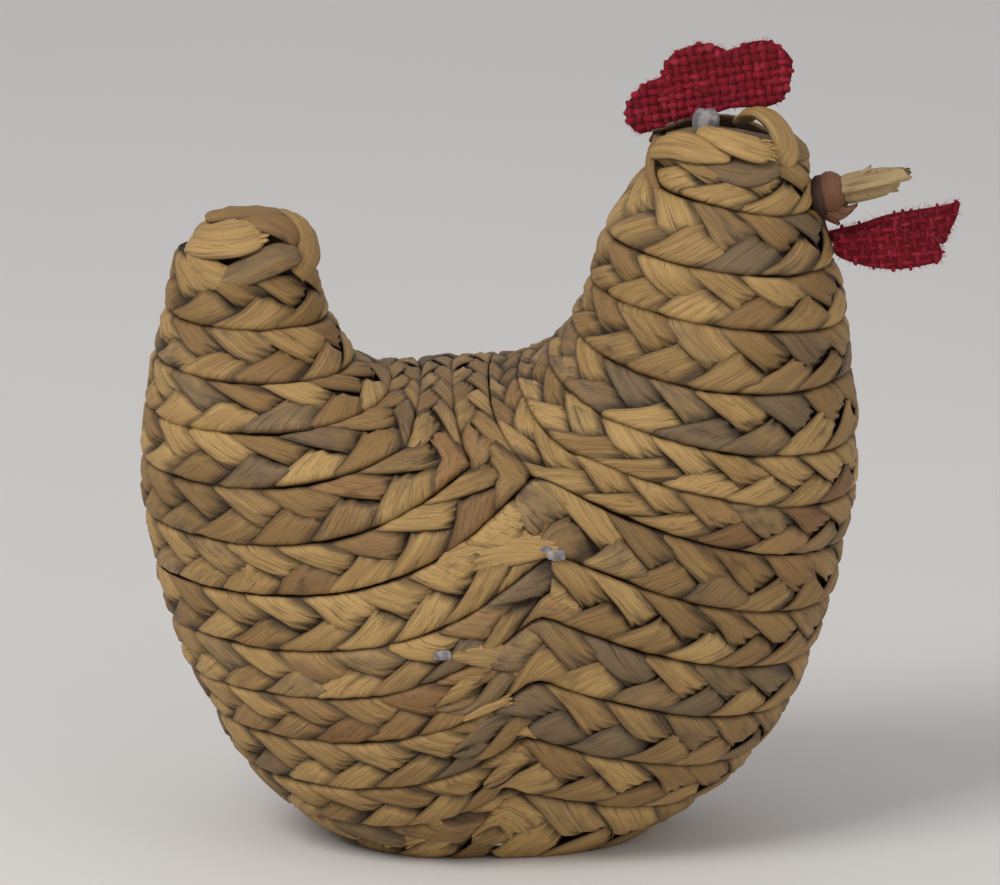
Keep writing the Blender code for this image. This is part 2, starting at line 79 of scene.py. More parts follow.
# Course lines of the body: left end x and z, right end x and z, peak x and z, half depth.
BODY_LINES = (
    (-79.4, 64.5, 81.8, 70.6, 8.9, 97.6, 48.0),
    (-75.9, 51.8, 78.7, 57.2, 13.0, 80.2, 48.5),
    (-71.7, 40.6, 74.5, 44.3, 10.0, 64.7, 48.3),
    (-65.8, 30.0, 69.5, 32.8, 9.5, 49.0, 47.0),
    (-58.8, 18.4, 61.1, 21.2, 7.0, 34.4, 44.0),
    (-48.2, 8.4, 50.0, 11.0, 3.0, 20.0, 38.0),
    (-33.0, -1.2, 29.0, -1.2, -2.0, -1.2, 23.0),
)
CLIMB_LEFT = 3.4  # power with which a body line climbs to its peak from the left
CLIMB_RIGHT = 1.6
CLIMB_PAST = 1.3  # how far past the peak either climb is followed, so that the two cross
PEAK_SOFTNESS = 0.06
PEAK_TUCK = 0.094  # how far the top line's peak leans in, as a share of the half depth
TAIL_JOIN = 0.706 * pi  # angle at which the tail's last line leaves the body for the seam
NECK_JOIN = 0.324 * pi
# For each line of the tail and the neck, its share of the last line's shape
TAIL_BLEND = (0.0, 0.0, 0.0, 0.12, 0.45, 0.78, 1.0)
NECK_BLEND = (0.0, 0.0, 0.0, 0.0, 0.10, 0.38, 0.72, 1.0)
PLAIT_START = -0.23  # turn at which a horn's plait starts, half hidden under the tip's strips
PLAIT_END = 0.07  # of a turn, left off where the last turn has run out to a point
NUDGE = 1e-3  # step in t and in angle over which the skin's slope is taken
SAMPLES = 96  # places along a route in one turn

# Underside
BASE_HALF_LENGTH = 27.0 * MM
BASE_HALF_DEPTH = 18.6 * MM
BASE_CENTRE_X = -2.0 * MM
BASE_LIFT = 1.2 * MM


# Skin of the hen


def between(table, t):
    """Values of the table at a fractional row t, on a Catmull-Rom curve through its rows."""
    rows = np.asarray(table, float)
    if rows.ndim == 1:
        rows = rows[:, None]
    last = len(rows) - 1
    t = np.clip(np.asarray(t, float), 0, last)
    i = np.minimum(t.astype(int), last - 1)
    f = (t - i)[..., None]
    ends = np.concatenate([2 * rows[:1] - rows[1:2], rows, 2 * rows[-1:] - rows[-2:-1]])
    a, b, c, d = ends[i], ends[i + 1], ends[i + 2], ends[i + 3]
    curve = 2 * b + (c - a) * f + (2 * a - 5 * b + 4 * c - d) * f**2
    return 0.5 * (curve + (3 * b - a - 3 * c + d) * f**3)


def peak_angle():
    """Angle on the body's top line at which it peaks."""
    left, _, right, _, peak = BODY_LINES[0][:5]
    return np.arccos((left + right - 2 * peak) / (right - left))


def softer(a, b, soft):
    """The lower of two curves: their mean less the hypotenuse of half their gap and soft."""
    return (a + b) / 2 - np.hypot((a - b) / 2, soft)


def body_front(t, angle):
    """Front half of body line t: x by the cosine of the angle, y by its sine, z by two climbs."""
    lx, lz, rx, rz, px, pz, depth = np.moveaxis(between(BODY_LINES, t), -1, 0)
    x = (lx + rx) / 2 - (rx - lx) / 2 * np.cos(angle)
    left = np.clip((x - lx) / (px - lx), 0, CLIMB_PAST) ** CLIMB_LEFT
    right = np.clip((rx - x) / (rx - px), 0, CLIMB_PAST) ** CLIMB_RIGHT
    soft = PEAK_SOFTNESS * (pz - (lz + rz) / 2)
    z = soft + softer(lz + (pz - lz) * left, rz + (pz - rz) * right, soft)
    tuck = PEAK_TUCK * np.clip(1 - np.asarray(t, float), 0, 1)
    y = -depth * np.sin(angle) * (1 - tuck * softer(left, right, PEAK_SOFTNESS))
    return np.stack([x, y, z], -1)


def seam_front(f):
    """Front half of the seam: from the body's peak at f = 0 up to the top of the back at 1."""
    peak_x, peak_z = BODY_LINES[0][4:6]
    top_x, top_z = TAIL_LINES[-1][2:4]
    start = body_front(0.0, peak_angle())
    turn = f * pi / 2
    x = top_x + (peak_x - top_x) * (1 - f) ** 2.2
    y = start[..., 1] * np.cos(turn) ** 0.9
    z = peak_z + (top_z - peak_z) * np.sin(turn) ** 0.8
    return np.stack([x, y, z], -1)


def tail_last(angle):
    """Front half of the tail's last line: the body's top line to its peak, then the seam."""
    left = body_front(0.0, np.clip(angle / TAIL_JOIN, 0, 1) * peak_angle())
    over = seam_front(np.clip((angle - TAIL_JOIN) / (pi - TAIL_JOIN), 0, 1))
    return np.where((angle < TAIL_JOIN)[..., None], left, over)


def neck_last(angle):
    """Front half of the neck's last line: down the seam, then the body's top line."""
    over = seam_front(np.clip(1 - angle / NECK_JOIN, 0, 1))
    f = np.clip((angle - NECK_JOIN) / (pi - NECK_JOIN), 0, 1)
    right = body_front(0.0, peak_angle() + f * (pi - peak_angle()))
    return np.where((angle < NECK_JOIN)[..., None], over, right)


def fold_back(angle):
    """The matching front angle, and whether the angle lies on the back half."""
    angle = np.mod(angle, 2 * pi)
    return np.where(angle > pi, 2 * pi - angle, angle), angle > pi


def horn(lines, blend, last_line, falls, t, angle):
    """Point of a horn's skin: a tilted ellipse, blended by share into the last line's shape."""
    front, back = fold_back(angle)
    lx, lz, rx, rz, depth, climb = np.moveaxis(between(lines, t), -1, 0)
    share = np.clip(between(blend, t)[..., 0], 0, 1)
    end_lx, end_lz, end_rx, end_rz, end_depth, _ = lines[-1]
    goal = last_line(front)
    along = (1 - np.cos(front)) / 2
    rise = 1 - (1 - along) ** climb if falls else along**climb
    x_share = along + share * ((goal[..., 0] - end_lx) / (end_rx - end_lx) - along)
    y_share = np.sin(front) + share * (-goal[..., 1] / end_depth - np.sin(front))
    z_share = rise + share * ((goal[..., 2] - end_lz) / (end_rz - end_lz) - rise)
    y = -depth * y_share
    return np.stack([lx + (rx - lx) * x_share, np.where(back, -y, y), lz + (rz - lz) * z_share], -1)


def tail(t, angle):
    """Skin of the tail in metres, at course line t and an angle round from its left end."""
    t, angle = np.broadcast_arrays(np.asarray(t, float), np.asarray(angle, float))
    return MM * horn(TAIL_LINES, TAIL_BLEND, tail_last, False, t, angle)


def neck(t, angle):
    """Skin of the neck, as that of the tail."""
    t, angle = np.broadcast_arrays(np.asarray(t, float), np.asarray(angle, float))
    return MM * horn(NECK_LINES, NECK_BLEND, neck_last, True, t, angle)


def body(t, angle):
    """Skin of the body: its front half, and the back half with y turned round."""
    t, angle = np.broadcast_arrays(np.asarray(t, float), np.asarray(angle, float))
    front, back = fold_back(angle)
    point = body_front(t, front)
    point[..., 1] = np.where(back, -point[..., 1], point[..., 1])
    return MM * point


def underside(t, angle):
    """Flat oval under the hen: t = 0 is its edge and t = 1 its middle."""
    t, angle = np.broadcast_arrays(np.asarray(t, float), np.asarray(angle, float))
    x = BASE_CENTRE_X - BASE_HALF_LENGTH * (1 - t) * np.cos(angle)
    y = -BASE_HALF_DEPTH * (1 - t) * np.sin(angle)
    return np.stack([x, y, np.full(t.shape, BASE_LIFT)], -1)


def lifted(skin, t, angle, height):
    """The skin's point moved out along its normal, the cross product of its two slopes."""
    down = skin(t + NUDGE, angle) - skin(t - NUDGE, angle)
    along = skin(t, angle + NUDGE) - skin(t, angle - NUDGE)
    normal = np.cross(down, along)
    normal /= np.maximum(np.linalg.norm(normal, axis=-1, keepdims=True), 1e-12)
    return skin(t, angle) + normal * np.asarray(height)[..., None]


# Routes of the plaits: a turn number and a place across the course, to t and an angle


def wound(last):
    """Down a horn: one line lower each turn, all of the drop on the back half."""

    def route(turn, across):
        whole = np.floor(turn)
        angle = 2 * pi * (turn - whole)
        line = whole + across
        drop = np.where(angle > pi, (1 + np.cos(angle)) / 2, 0)
        t = line + drop * np.clip(last - line, 0, 1)
        t = np.where(line < 0, (1 + line) * drop, t)
        return np.minimum(t, last), angle

    return route


def ring(line, joint):
    """Once round the body, with both ends at the joint's x at the front."""
    lx, _, rx = between(BODY_LINES, line + 0.5)[:3]
    start = np.arccos((lx + rx - 2 * joint) / (rx - lx))

    def route(turn, across):
        return line + across, start + 2 * pi * turn

    return route


def coil(turns):
    """Inwards on the underside, one course each turn."""

    def route(turn, across):
        return (turn + across) / (turns + 1), 2 * pi * turn

    return route


# Meshes


def wander(s, reach, seed, shape=()):
    """Smooth random walk from -1 to 1: three sines of s with random phases, about reach long."""
    draw = np.random.default_rng(seed)
    waves = reach * np.array([0.73, 1.0, 1.61])
    phases = draw.uniform(0, 2 * pi, (3, *shape))
    return sum(np.sin(2 * pi * s / w + p) for w, p in zip(waves, phases)) / 2.4


def tube_faces(rings, sides, start=0):
    """Quads between rings of points, and one face over each end."""
    i = np.arange(rings - 1)[:, None] * sides
    j = np.arange(sides)[None, :]
    k = (j + 1) % sides
    quads = np.stack([i + j, i + k, i + k + sides, i + j + sides], -1).reshape(-1, 4) + start
    first = tuple(start + np.arange(sides)[::-1])
    last = tuple(start + (rings - 1) * sides + np.arange(sides))
    return quads.tolist() + [first, last]


def tubes_mesh(name, grids, attributes):
    """One mesh of closed tubes. Each grid is rings x sides x 3; attributes follow its points."""
    points, faces, start = [], [], 0
    for grid in grids:
        rings, sides = grid.shape[:2]
        flat = grid.reshape(-1, 3)
        middle = grid.mean(axis=1, keepdims=True)
        a = grid[:, 0] - middle[:, 0]
        b = grid[:, 1] - middle[:, 0]
        ahead = np.gradient(middle[:, 0], axis=0)
        if np.einsum("ij,ij->i", np.cross(a, b), ahead).sum() > 0:
            flat = grid[:, ::-1].reshape(-1, 3)
            for key in attributes:
                part = attributes[key][len(points)]
                attributes[key][len(points)] = part[:, ::-1]
        points.append(flat)
        faces += tube_faces(rings, sides, start)
        start += rings * sides
    joined = {key: np.concatenate([part.reshape(-1, part.shape[-1]) for part in parts])
              for key, parts in attributes.items()}
    return solid(name, np.concatenate(points), faces, joined)


def solid(name, points, faces, attributes=None):
    """A smooth mesh object from points and faces, with a vector attribute for each array."""
    mesh = bpy.data.meshes.new(name)
    mesh.from_pydata(points.tolist(), [], faces)
    for key, values in (attributes or {}).items():
        kind, slot = ("FLOAT_VECTOR", "vector") if values.shape[-1] == 3 else ("FLOAT_COLOR", "color")
        layer = mesh.attributes.new(key, kind, "POINT")
        layer.data.foreach_set(slot, np.ascontiguousarray(values, np.float32).ravel())
    mesh.shade_smooth()
    mesh.validate()
    piece = bpy.data.objects.new(name, mesh)
    bpy.context.scene.collection.objects.link(piece)
    return piece


# The braid
TRAVERSE = 21.0 * MM  # along the plait, while a strand crosses from edge to edge
STRAND_SIDES = 18
# Rings of a strand in one traverse, from 0 to 1: close together on the fold at 0.5
FOLD_RINGS = np.concatenate([
    np.linspace(0, 0.36, 4), 0.5 + np.linspace(-0.115, 0.115, 7), 1 - np.linspace(0.36, 0.1, 4)])
POINT = 13 * MM  # length of a pointed start
POINT_LIFT = 0.5 * MM  # of a pointed start over the end that it covers
HORN_TAPER = 10 * MM
# Of the plaits round the body: turns at which they start and end, where they thin and sink
POINT_START, BUTT_START, RING_END = -0.034, -0.008, 1.008
RING_TAPER = 9 * MM
RING_SINK = 1.3 * MM
RING_FLOOR = 0.1 * MM  # no strand lies lower
# Of each plait round the body: x of its joint in millimetres, and whether its start is pointed
JOINTS = ((8.9, False), (16.7, False), (1.5, True), (4.0, True), (9.0, True), (3.0, True))
COIL_TURNS = 2
COIL_START, COIL_END = -0.1, 1.75
COIL_TAPER = 20 * MM
OVERRUN = 0.6  # traverses that a strand is followed past the plait's ends
STRAND_WIDTH = 9.8 * MM
STRAND_THICK = 0.62 * MM  # from a strand's middle surface to either face
FOLD_RADIUS = 0.95 * MM  # of the turn over at the plait's edge
BRAID_LEVEL = -1.7 * MM  # of the plait's middle, from the skin
PUFF = 0.3 * MM  # extra height of a strand just after its fold
TUCK = 1.6 * MM  # over which a strand dips under the rim of the next one
SHINGLE = 0.75 * MM  # drop of a strand's side under the next one of the same row
SHINGLE_LEAD = 0.6 * MM  # before the other's rim, where that drop starts
SHINGLE_SPAN = 1.0 * MM
CLEAR_OF_FOLD = 1.5 * MM  # past the fold, where the drop is whole
STRAY = 1.3 * MM  # by which a strand strays along the plait
PLEAT = 0.12 * MM  # height of the folds along a leaf
LOOSE = 0.1  # share by which a strand's width varies
EDGE_OUT = 0.1 * MM  # by which neighbouring plaits press into each other
EDGE_STRAY = 0.35 * MM  # by which a plait's edge strays
RISE_STRAY = 0.25 * MM  # by which a strand's height strays
STRIP_LENGTH = 80 * MM  # of one leaf strip, before the next is laid in
USUAL_WIDTH = 12.6 * MM  # of a plait, at which its strands have their full width
BULGE = 0.8 * MM  # extra height of the plait's middle over its edges
RIM_SHADE = 0.12  # how light the painted shade on a strap's rim is
CONTACT_SHADE = 0.75 * MM  # over which painted shade darkens a strap towards the rim of the next one
SHADE_HEIGHTS = (-1.4 * MM, 0.15 * MM)  # heights from the skin between which a strap's painted crevice shade fades out, so lower parts are darker


def eased(x):
    """Smooth step: x squared times 3 less 2 x, with x held between 0 and 1."""
    x = np.clip(x, 0, 1)
    return x * x * (3 - 2 * x)


def strand_grid(skin, route, turns, length, width, k, seed, plait):
    """One strand of a plait as a tube: rings x sides x 3 points, with its attributes.

    A flat strap crosses the plait slantwise once in each traverse, u counts the traverses, and
    each ring is a line of equal u, so that it lies along the edge: its points' places along are
    spread by the half width over the sine of the slant. At every half of u the strap turns up on
    a half circle from underneath to the top. Cover is the distance past the rim of the next
    strand, which comes from the other edge: near it the strap dips, by a smooth step of cover.
    Beside is the distance past the rim of the strand after that, which lies in the same row: the
    strap's side drops under it by another smooth step. The thickness is the root of 1 less v to
    the fourth, with v from -1 to 1 across the strap.
    """
    total, period = length[-1], plait["traverse"]
    own, after, third = (seed * 17 + (k + place) % 3 for place in range(3))
    lag = 2 * k / 3
    first, last = lag - OVERRUN, total / period + lag + OVERRUN
    u = (np.arange(int(np.floor(first)), int(last) + 2)[:, None] + FOLD_RINGS).ravel()
    u = u[(u > first) & (u < last)][:, None]
    middle = period * (u - lag)
    local = np.interp(middle, length, width)
    slant = np.arctan2(local, period)
    end = np.clip(np.minimum(middle, total - middle) / plait["taper"], 0, 1) ** 0.6
    narrow = np.clip(local / USUAL_WIDTH, 0.45, 1.3)
    usual = plait["width"] / 2 * narrow**0.75 * (0.5 + 0.5 * end)
    half = usual * (1 + LOOSE * wander(middle, 1.3 * TRAVERSE, own + 5))
    q = np.linspace(0, 2 * pi, STRAND_SIDES, endpoint=False)[None, :]
    v = np.cos(q)
    side = np.sign(np.sin(q)) * np.sqrt(1 - v**4)
    along = middle - STRAY * wander(middle, 1.1 * TRAVERSE, own) - v * half / np.sin(slant)
    along = np.clip(along, 0, total)
    u = u + 0 * v

    # Out from the plait's middle line, round the fold
    step = np.floor(u)
    way = 1 - 2 * np.mod(step, 2)
    radius = FOLD_RADIUS * narrow
    gap = (u - step - 0.5) * local
    bend = np.clip(gap / radius, -pi / 2, pi / 2)
    run = np.abs(gap) - radius * pi / 2
    edge = local / 2 - radius * (pi / 2 - 1)
    out = np.where(run > 0, edge - radius - run, edge - radius + radius * np.cos(bend))
    out = out * (1 + 2 * (EDGE_OUT + EDGE_STRAY * wander(along, 1.9 * TRAVERSE, seed + 41)) / local)

    # Up from the skin, over one neighbour and under the next
    traverse = step + (gap > 0)
    past = along + STRAY * wander(along, 1.1 * TRAVERSE, after) - period * (traverse - lag)
    rim = usual * (1 + LOOSE * wander(along, 1.3 * TRAVERSE, after + 5))
    cover = (past / period + u - traverse - 1 / 3) * local * np.cos(slant) + rim
    top = eased(0.55 - cover / TUCK)
    height = np.where(np.abs(bend) < pi / 2, np.sin(bend), 2 * top - 1) * radius
    height = height + PUFF * np.sin(pi * np.sqrt(np.clip(gap / (0.5 * local), 0, 1))) * top
    stray = wander(along, 1.1 * TRAVERSE, own) - wander(along, 1.1 * TRAVERSE, third)
    beside = rim - v * half - (2 * period / 3 + STRAY * stray) * np.sin(slant)
    under = eased((beside + SHINGLE_LEAD) / SHINGLE_SPAN)
    height = height - SHINGLE * under * np.clip(gap / CLEAR_OF_FOLD, 0, 1) * top

    # The strap's two faces
    thick = plait["thick"] * (1 + 0.15 * wander(middle, 1.5 * TRAVERSE, own + 9)) * (0.45 + 0.55 * end)
    folds = np.sin(2 * pi * (1.5 * v + 0.8 * wander(middle, 1.7 * TRAVERSE, own + 21)))
    folds = folds + 0.8 * np.sin(2 * pi * (2.7 * v - 0.9 * wander(middle, 1.3 * TRAVERSE, own + 23)))
    thick = (thick + PLEAT * folds) * side
    out = out - np.cos(bend) * way * thick
    height = height - np.sin(bend) * way * thick
    point = plait["point"]
    if point:
        out = out * (0.12 + 0.88 * np.sin(np.clip(along / point, 0, 1) * pi / 2))
        height = height + POINT_LIFT * (1 - np.clip(along / point, 0, 1))
        sunk = np.clip(1 - (total - along) / point, 0, 1)
    else:
        sunk = 1 - end
    height = BRAID_LEVEL + height - plait["sink"] * sunk
    height = height + RISE_STRAY * wander(middle, 1.4 * TRAVERSE, own + 43)
    height = height + BULGE * narrow * np.clip(1 - (2 * out / local) ** 2, 0, 1)
    t, angle = route(np.interp(along, length, turns), 0.5 + way * out / local)
    points = lifted(skin, t, angle, height)
    points[..., 2] = np.maximum(points[..., 2], plait["floor"])

    # Painted shade low in the crevices, at the rims and where the strap goes under; one tone for each strip
    # of leaf
    shade = np.clip((height - SHADE_HEIGHTS[0]) / (SHADE_HEIGHTS[1] - SHADE_HEIGHTS[0]), 0, 1)
    shade = shade * np.where(np.abs(v) > 0.98, RIM_SHADE, np.where(np.abs(v) > 0.9, 0.6, 1.0))
    shade = shade * np.clip(-cover / CONTACT_SHADE, RIM_SHADE, 1)
    shade = shade * np.where(gap > 0, np.clip(-beside / CONTACT_SHADE, 0.3, 1), 1)
    draw = np.random.default_rng(own + 31)
    strips = int(total / STRIP_LENGTH) + 5
    knots = (np.arange(strips) + draw.uniform(-0.25, 0.25, strips) - 1 - draw.uniform(0, 1)) * STRIP_LENGTH
    index = np.clip(np.searchsorted(knots, period * (traverse[:, :1] - lag)) - 1, 0, strips - 1)
    tone = draw.normal(0, 1, (strips, 3))[index[:, 0]]
    tone[:, 0] += 0.6 * wander(middle[:, 0], 40 * MM, own + 37)
    run = middle / np.cos(slant) - v * half / np.tan(slant)
    parts = np.broadcast_arrays(run + 0.37 * own, v * half, index * 0.013 + 0.29 * own)
    tone_and_shade = np.broadcast_arrays(tone[:, 0:1], tone[:, 1:2], tone[:, 2:3], 2 * shade - 1)
    return points, np.stack(parts, -1), 0.5 + 0.25 * np.stack(tone_and_shade, -1)


def braid(name, skin, route, first, last, seed, taper, sink=0.0, floor=0.0, closed=False, point=0.0):
    """Three strands plaited along the route, as one mesh of three closed tubes.

    A closed plait has a whole number of lobes in a turn. A plait with a point starts narrow, by a
    sine of the place along, and its other end sinks under that.
    """
    turns = np.linspace(first, last, int(SAMPLES * (last - first)) + 8)
    middle = skin(*route(turns, 0.5))
    length = np.concatenate([[0], np.cumsum(np.linalg.norm(np.diff(middle, axis=0), axis=1))])
    width = np.linalg.norm(skin(*route(turns, 0.02)) - skin(*route(turns, 0.98)), axis=1) / 0.96
    hen = settings()
    plait = {"taper": taper, "sink": sink, "floor": floor, "traverse": TRAVERSE, "point": point,
             "width": hen.strand_width, "thick": hen.strand_thick}
    if closed:
        round_trip = length[-1] / (last - first)
        plait["traverse"] = round_trip * 1.5 / round(round_trip * 1.5 / TRAVERSE)
    made = [strand_grid(skin, route, turns, length, width, k, seed, plait) for k in range(3)]
    grids, leaves, tones_and_shades = (list(part) for part in zip(*made))
    return tubes_mesh(name, grids, {"leaf": leaves, "tone_and_shade": tones_and_shades})


# Single strips of leaf, each along its own path of x, y, z and half width, in millimetres
TAIL_TIP = {
    "left": ((-60, -15.5, 138.5, 2.5), (-66, -14.5, 139.0, 3.6), (-70.3, -9, 141.0, 4.0),
             (-71.2, 0, 142.5, 3.4)),
    "golden": ((-69, 7, 142.0, 4.5), (-70.0, 0, 145.0, 5.4), (-66.5, -8.5, 147.0, 6.0),
               (-60.5, -11.5, 148.2, 6.0), (-55.5, -9.5, 148.8, 4.8)),
    "over": ((-60, -5, 150.4, 4.0), (-54, -6.5, 150.8, 4.6), (-48.8, -7.0, 149.0, 4.6),
             (-46.0, -6.5, 145.6, 3.6)),
    "right": ((-50, 6, 149.0, 3.6), (-45.2, 0, 148.3, 4.4), (-43.0, -5.0, 143.5, 4.4),
              (-46.0, -11, 137.8, 2.6)),
    "grey": ((-65.0, -15.2, 137.6, 2.2), (-58, -15.8, 140.6, 3.6), (-51.5, -13.6, 143.0, 3.8),
             (-46, -9.5, 143.5, 3.0)),
    "behind": ((-70, 4, 145.5, 4.0), (-62, 9, 147.0, 5.5), (-53, 9, 147.0, 5.5), (-45, 4, 145.5, 4.0)),
    "rear": ((-72, 3, 141, 3.5), (-66, 12.5, 141.5, 4.5), (-56, 15.2, 141.0, 4.5), (-46, 9, 140.5, 3.5)),
    "middle": ((-68, 1, 149.4, 4.0), (-60, 1, 150.8, 5.5), (-50, 1, 150.2, 5.0)),
}
CROWN = {
    "left": ((37.2, -1, 167.0, 3.4), (38.8, -8.2, 169.2, 4.0), (42.6, -12.2, 170.4, 4.2),
             (48.2, -15.4, 169.7, 3.7), (55.2, -16.6, 168.0, 1.6)),
    "torn": ((47.8, -8.6, 172.8, 1.8), (52.2, -13.2, 172.6, 3.0), (57.2, -15.6, 171.4, 3.8),
             (61.8, -15.8, 170.0, 3.9), (64.2, -14.8, 169.4, 3.2)),
    "loop": ((57.2, 0.6, 172.4, 3.2), (60.0, -1.6, 175.4, 3.6), (63.2, -3.8, 175.9, 3.9),
             (66.8, -6.4, 173.2, 4.2), (68.6, -9.2, 168.8, 4.2), (66.6, -12.0, 165.0, 3.0)),
    "rear": ((37.5, 3, 169.0, 3.8), (46, 13.0, 169.4, 4.2), (58, 14.2, 168.6, 4.2), (70, 5, 165.5, 3.6)),
    "middle": ((40, 2, 169.0, 6.0), (52, 2.5, 169.8, 9.0), (65, 1, 167.8, 7.0)),
    "side": ((66, -9, 167.0, 3.0), (70.6, -2, 166.6, 3.6), (71.5, 6, 165.8, 3.6), (66, 12.5, 166.0, 3.0)),
    "edge": ((38.4, -3.5, 169.6, 1.4), (36.6, -6.6, 166.4, 1.6), (36.4, -9.0, 162.0, 1.5),
             (38.4, -11.2, 158.4, 0.9)),
    "grey": ((48.6, -15.4, 167.6, 1.6), (53.6, -16.9, 165.6, 3.3), (60.0, -17.4, 164.8, 3.7),
             (66.6, -15.2, 165.4, 2.2)),
}
# Of each tip: its strips, the middle that they bend round, a seed, the nodes that they stand for,
# lightness, greyness and redness of some strips, and the strip whose end is torn
TIPS = {
    "tail_tip_strips": (
        TAIL_TIP, (-58, 0, 132), 101, ("tail_cap_plait", "tail_tip_knot"),
        {"left": (0.6, -1, 0.2), "golden": (1.0, -2, 0.6), "over": (-0.6, 0.6, 1.6),
         "right": (0.2, -1, 1.0), "grey": (-0.2, 1.4, -1)}, "golden"),
    # The crown's middle strip is toned dark as painted shade in the opening beside the glue.
    "crown_strips": (
        CROWN, (54, 0, 150), 141, ("crown_plait", "crown_knot", "crown_loop"),
        {"left": (0.7, -1, 0.2), "torn": (1.3, -2, 0.4), "loop": (0.5, 0.2, 0.3),
         "middle": (-2.5, 1.5, 0.5), "edge": (-0.8, 0.8, 1.2), "grey": (-0.6, 1.6, -0.2)}, "torn"),
}
TORN_TONE = (2.0, -2, -1)
STRIP_STEP = 0.7 * MM  # from ring to ring of a strip


def curve(points, count):
    """Points evenly spread in number along a Catmull-Rom curve through the given ones."""
    return between(points, np.linspace(0, len(points) - 1, count))


def unit(vectors):
    """The vectors over their lengths."""
    return vectors / np.maximum(np.linalg.norm(vectors, axis=-1, keepdims=True), 1e-12)


def strip_grid(path, centre, seed, thick, cup, ragged=0.0):
    """One strip as a tube along the path: half its width times cos q across, thickness sin q out.

    Out is away from the centre, at right angles to the path. Cup bends the strip's edges down by
    a share of its half width times the square of the place across.
    """
    rows = np.asarray(path, float)
    spine = curve(rows * MM, 200)
    reach = np.concatenate([[0], np.cumsum(np.linalg.norm(np.diff(spine[:, :3], axis=0), axis=1))])
    s = np.linspace(0, reach[-1], max(8, int(reach[-1] / STRIP_STEP)))
    spine = np.stack([np.interp(s, reach, spine[:, axis]) for axis in range(4)], -1)
    ahead = unit(np.gradient(spine[:, :3], axis=0))
    out = spine[:, :3] - np.asarray(centre) * MM
    out = unit(out - (out * ahead).sum(axis=-1, keepdims=True) * ahead)
    across = np.cross(ahead, out)
    q = np.linspace(0, 2 * pi, STRAND_SIDES, endpoint=False)[None, :]
    v = np.sign(np.cos(q)) * np.abs(np.cos(q)) ** 0.75
    side = np.sign(np.sin(q)) * np.abs(np.sin(q)) ** 0.8
    share = (s / s[-1])[:, None]
    end = np.clip(np.minimum(s, s[-1] - s) / (1.5 * MM), 0.0, 1)[:, None] ** 0.5
    half = spine[:, 3:4] * (0.75 + 0.25 * end)
    folds = np.sin(2 * pi * (1.6 * v + 0.5 * wander(s[:, None], 20 * MM, seed + 3)))
    folds = folds + np.sin(2 * pi * (2.8 * v - 0.7 * wander(s[:, None], 15 * MM, seed + 5)))
    height = side * (thick * (0.35 + 0.65 * end) + PLEAT * folds) - cup * half * v**2
    draw = np.random.default_rng(seed)
    torn = ragged * draw.uniform(-1, 1, STRAND_SIDES)[None, :] * np.clip(share * 4 - 3, 0, 1) * MM
    points = spine[:, None, :3] + across[:, None] * (v * half)[..., None]
    points = points + out[:, None] * height[..., None] + ahead[:, None] * torn[..., None]
    tone = draw.normal(0, 1, 3)
    leaf = np.broadcast_arrays(s[:, None] + 0.61 * seed, v * half, np.full_like(v, 0.43 * seed))
    # Painted shade along the strip's rims, kept in the fourth part of its tone and shade
    rim = np.where(np.abs(v) > 0.98, 2 * RIM_SHADE - 1, np.where(np.abs(v) > 0.9, 0.3, 1.0))
    tone_and_shade = np.broadcast_arrays(np.ones((len(s), 1)), *tone[:, None, None], rim)[1:]
    return points, np.stack(leaf, -1), 0.5 + 0.25 * np.stack(tone_and_shade, -1)


def strips(name, grids, tones=None):
    """One mesh of many strips. Tones give a strip its lightness, greyness and redness."""
    points, leaves, tones_and_shades = (list(part) for part in zip(*grids))
    for index, tone in (tones or {}).items():
        tones_and_shades[index][..., :3] = 0.5 + 0.25 * np.array(tone)
    return tubes_mesh(name, points, {"leaf": leaves, "tone_and_shade": tones_and_shades})


def frayed(path, centre, share_wide, length, count, seed):
    """Thin torn slivers from a path's end: paths for strip_grid, fanned out along the last stretch."""
    draw = np.random.default_rng(seed)
    path = np.asarray(path, float)
    root, width = path[-1, :3], path[-1, 3] * share_wide
    ahead = unit(root - path[-2, :3])
    side = unit(np.cross(ahead, root - np.asarray(centre)))
    up = np.cross(side, ahead)
    paths = []
    for share in np.linspace(-1, 1, count):
        start = root + side * width * share
        lean = side * share * 0.25 + up * draw.uniform(-0.25, 0.35) + side * draw.uniform(-0.15, 0.15)
        far = length * draw.uniform(0.4, 1.0)
        wide = width / count * draw.uniform(0.8, 1.3)
        halfway = start + ahead * far * 0.5 + lean * far * 0.3
        paths.append([[*(start - ahead * 1.5), wide], [*halfway, wide],
                      [*(start + ahead * far + lean * far), wide * 0.25]])
    return paths


# The beak, on an axis that rises to the right
BEAK_TILT = radians(12)
BEAK_LINE = 0.78
KNOT_SEAT = (3.9, -1.0, 0.0)  # its knot's middle from the skin, in millimetres
# Straps wound round the knot: first and last turn in degrees, radius, place along, half width
KNOT_WRAPS = ((-200, 160, 3.6, -2.6, 3.0), (-60, 300, 4.0, 2.2, 3.6), (60, 330, 4.0, -0.3, 2.6))
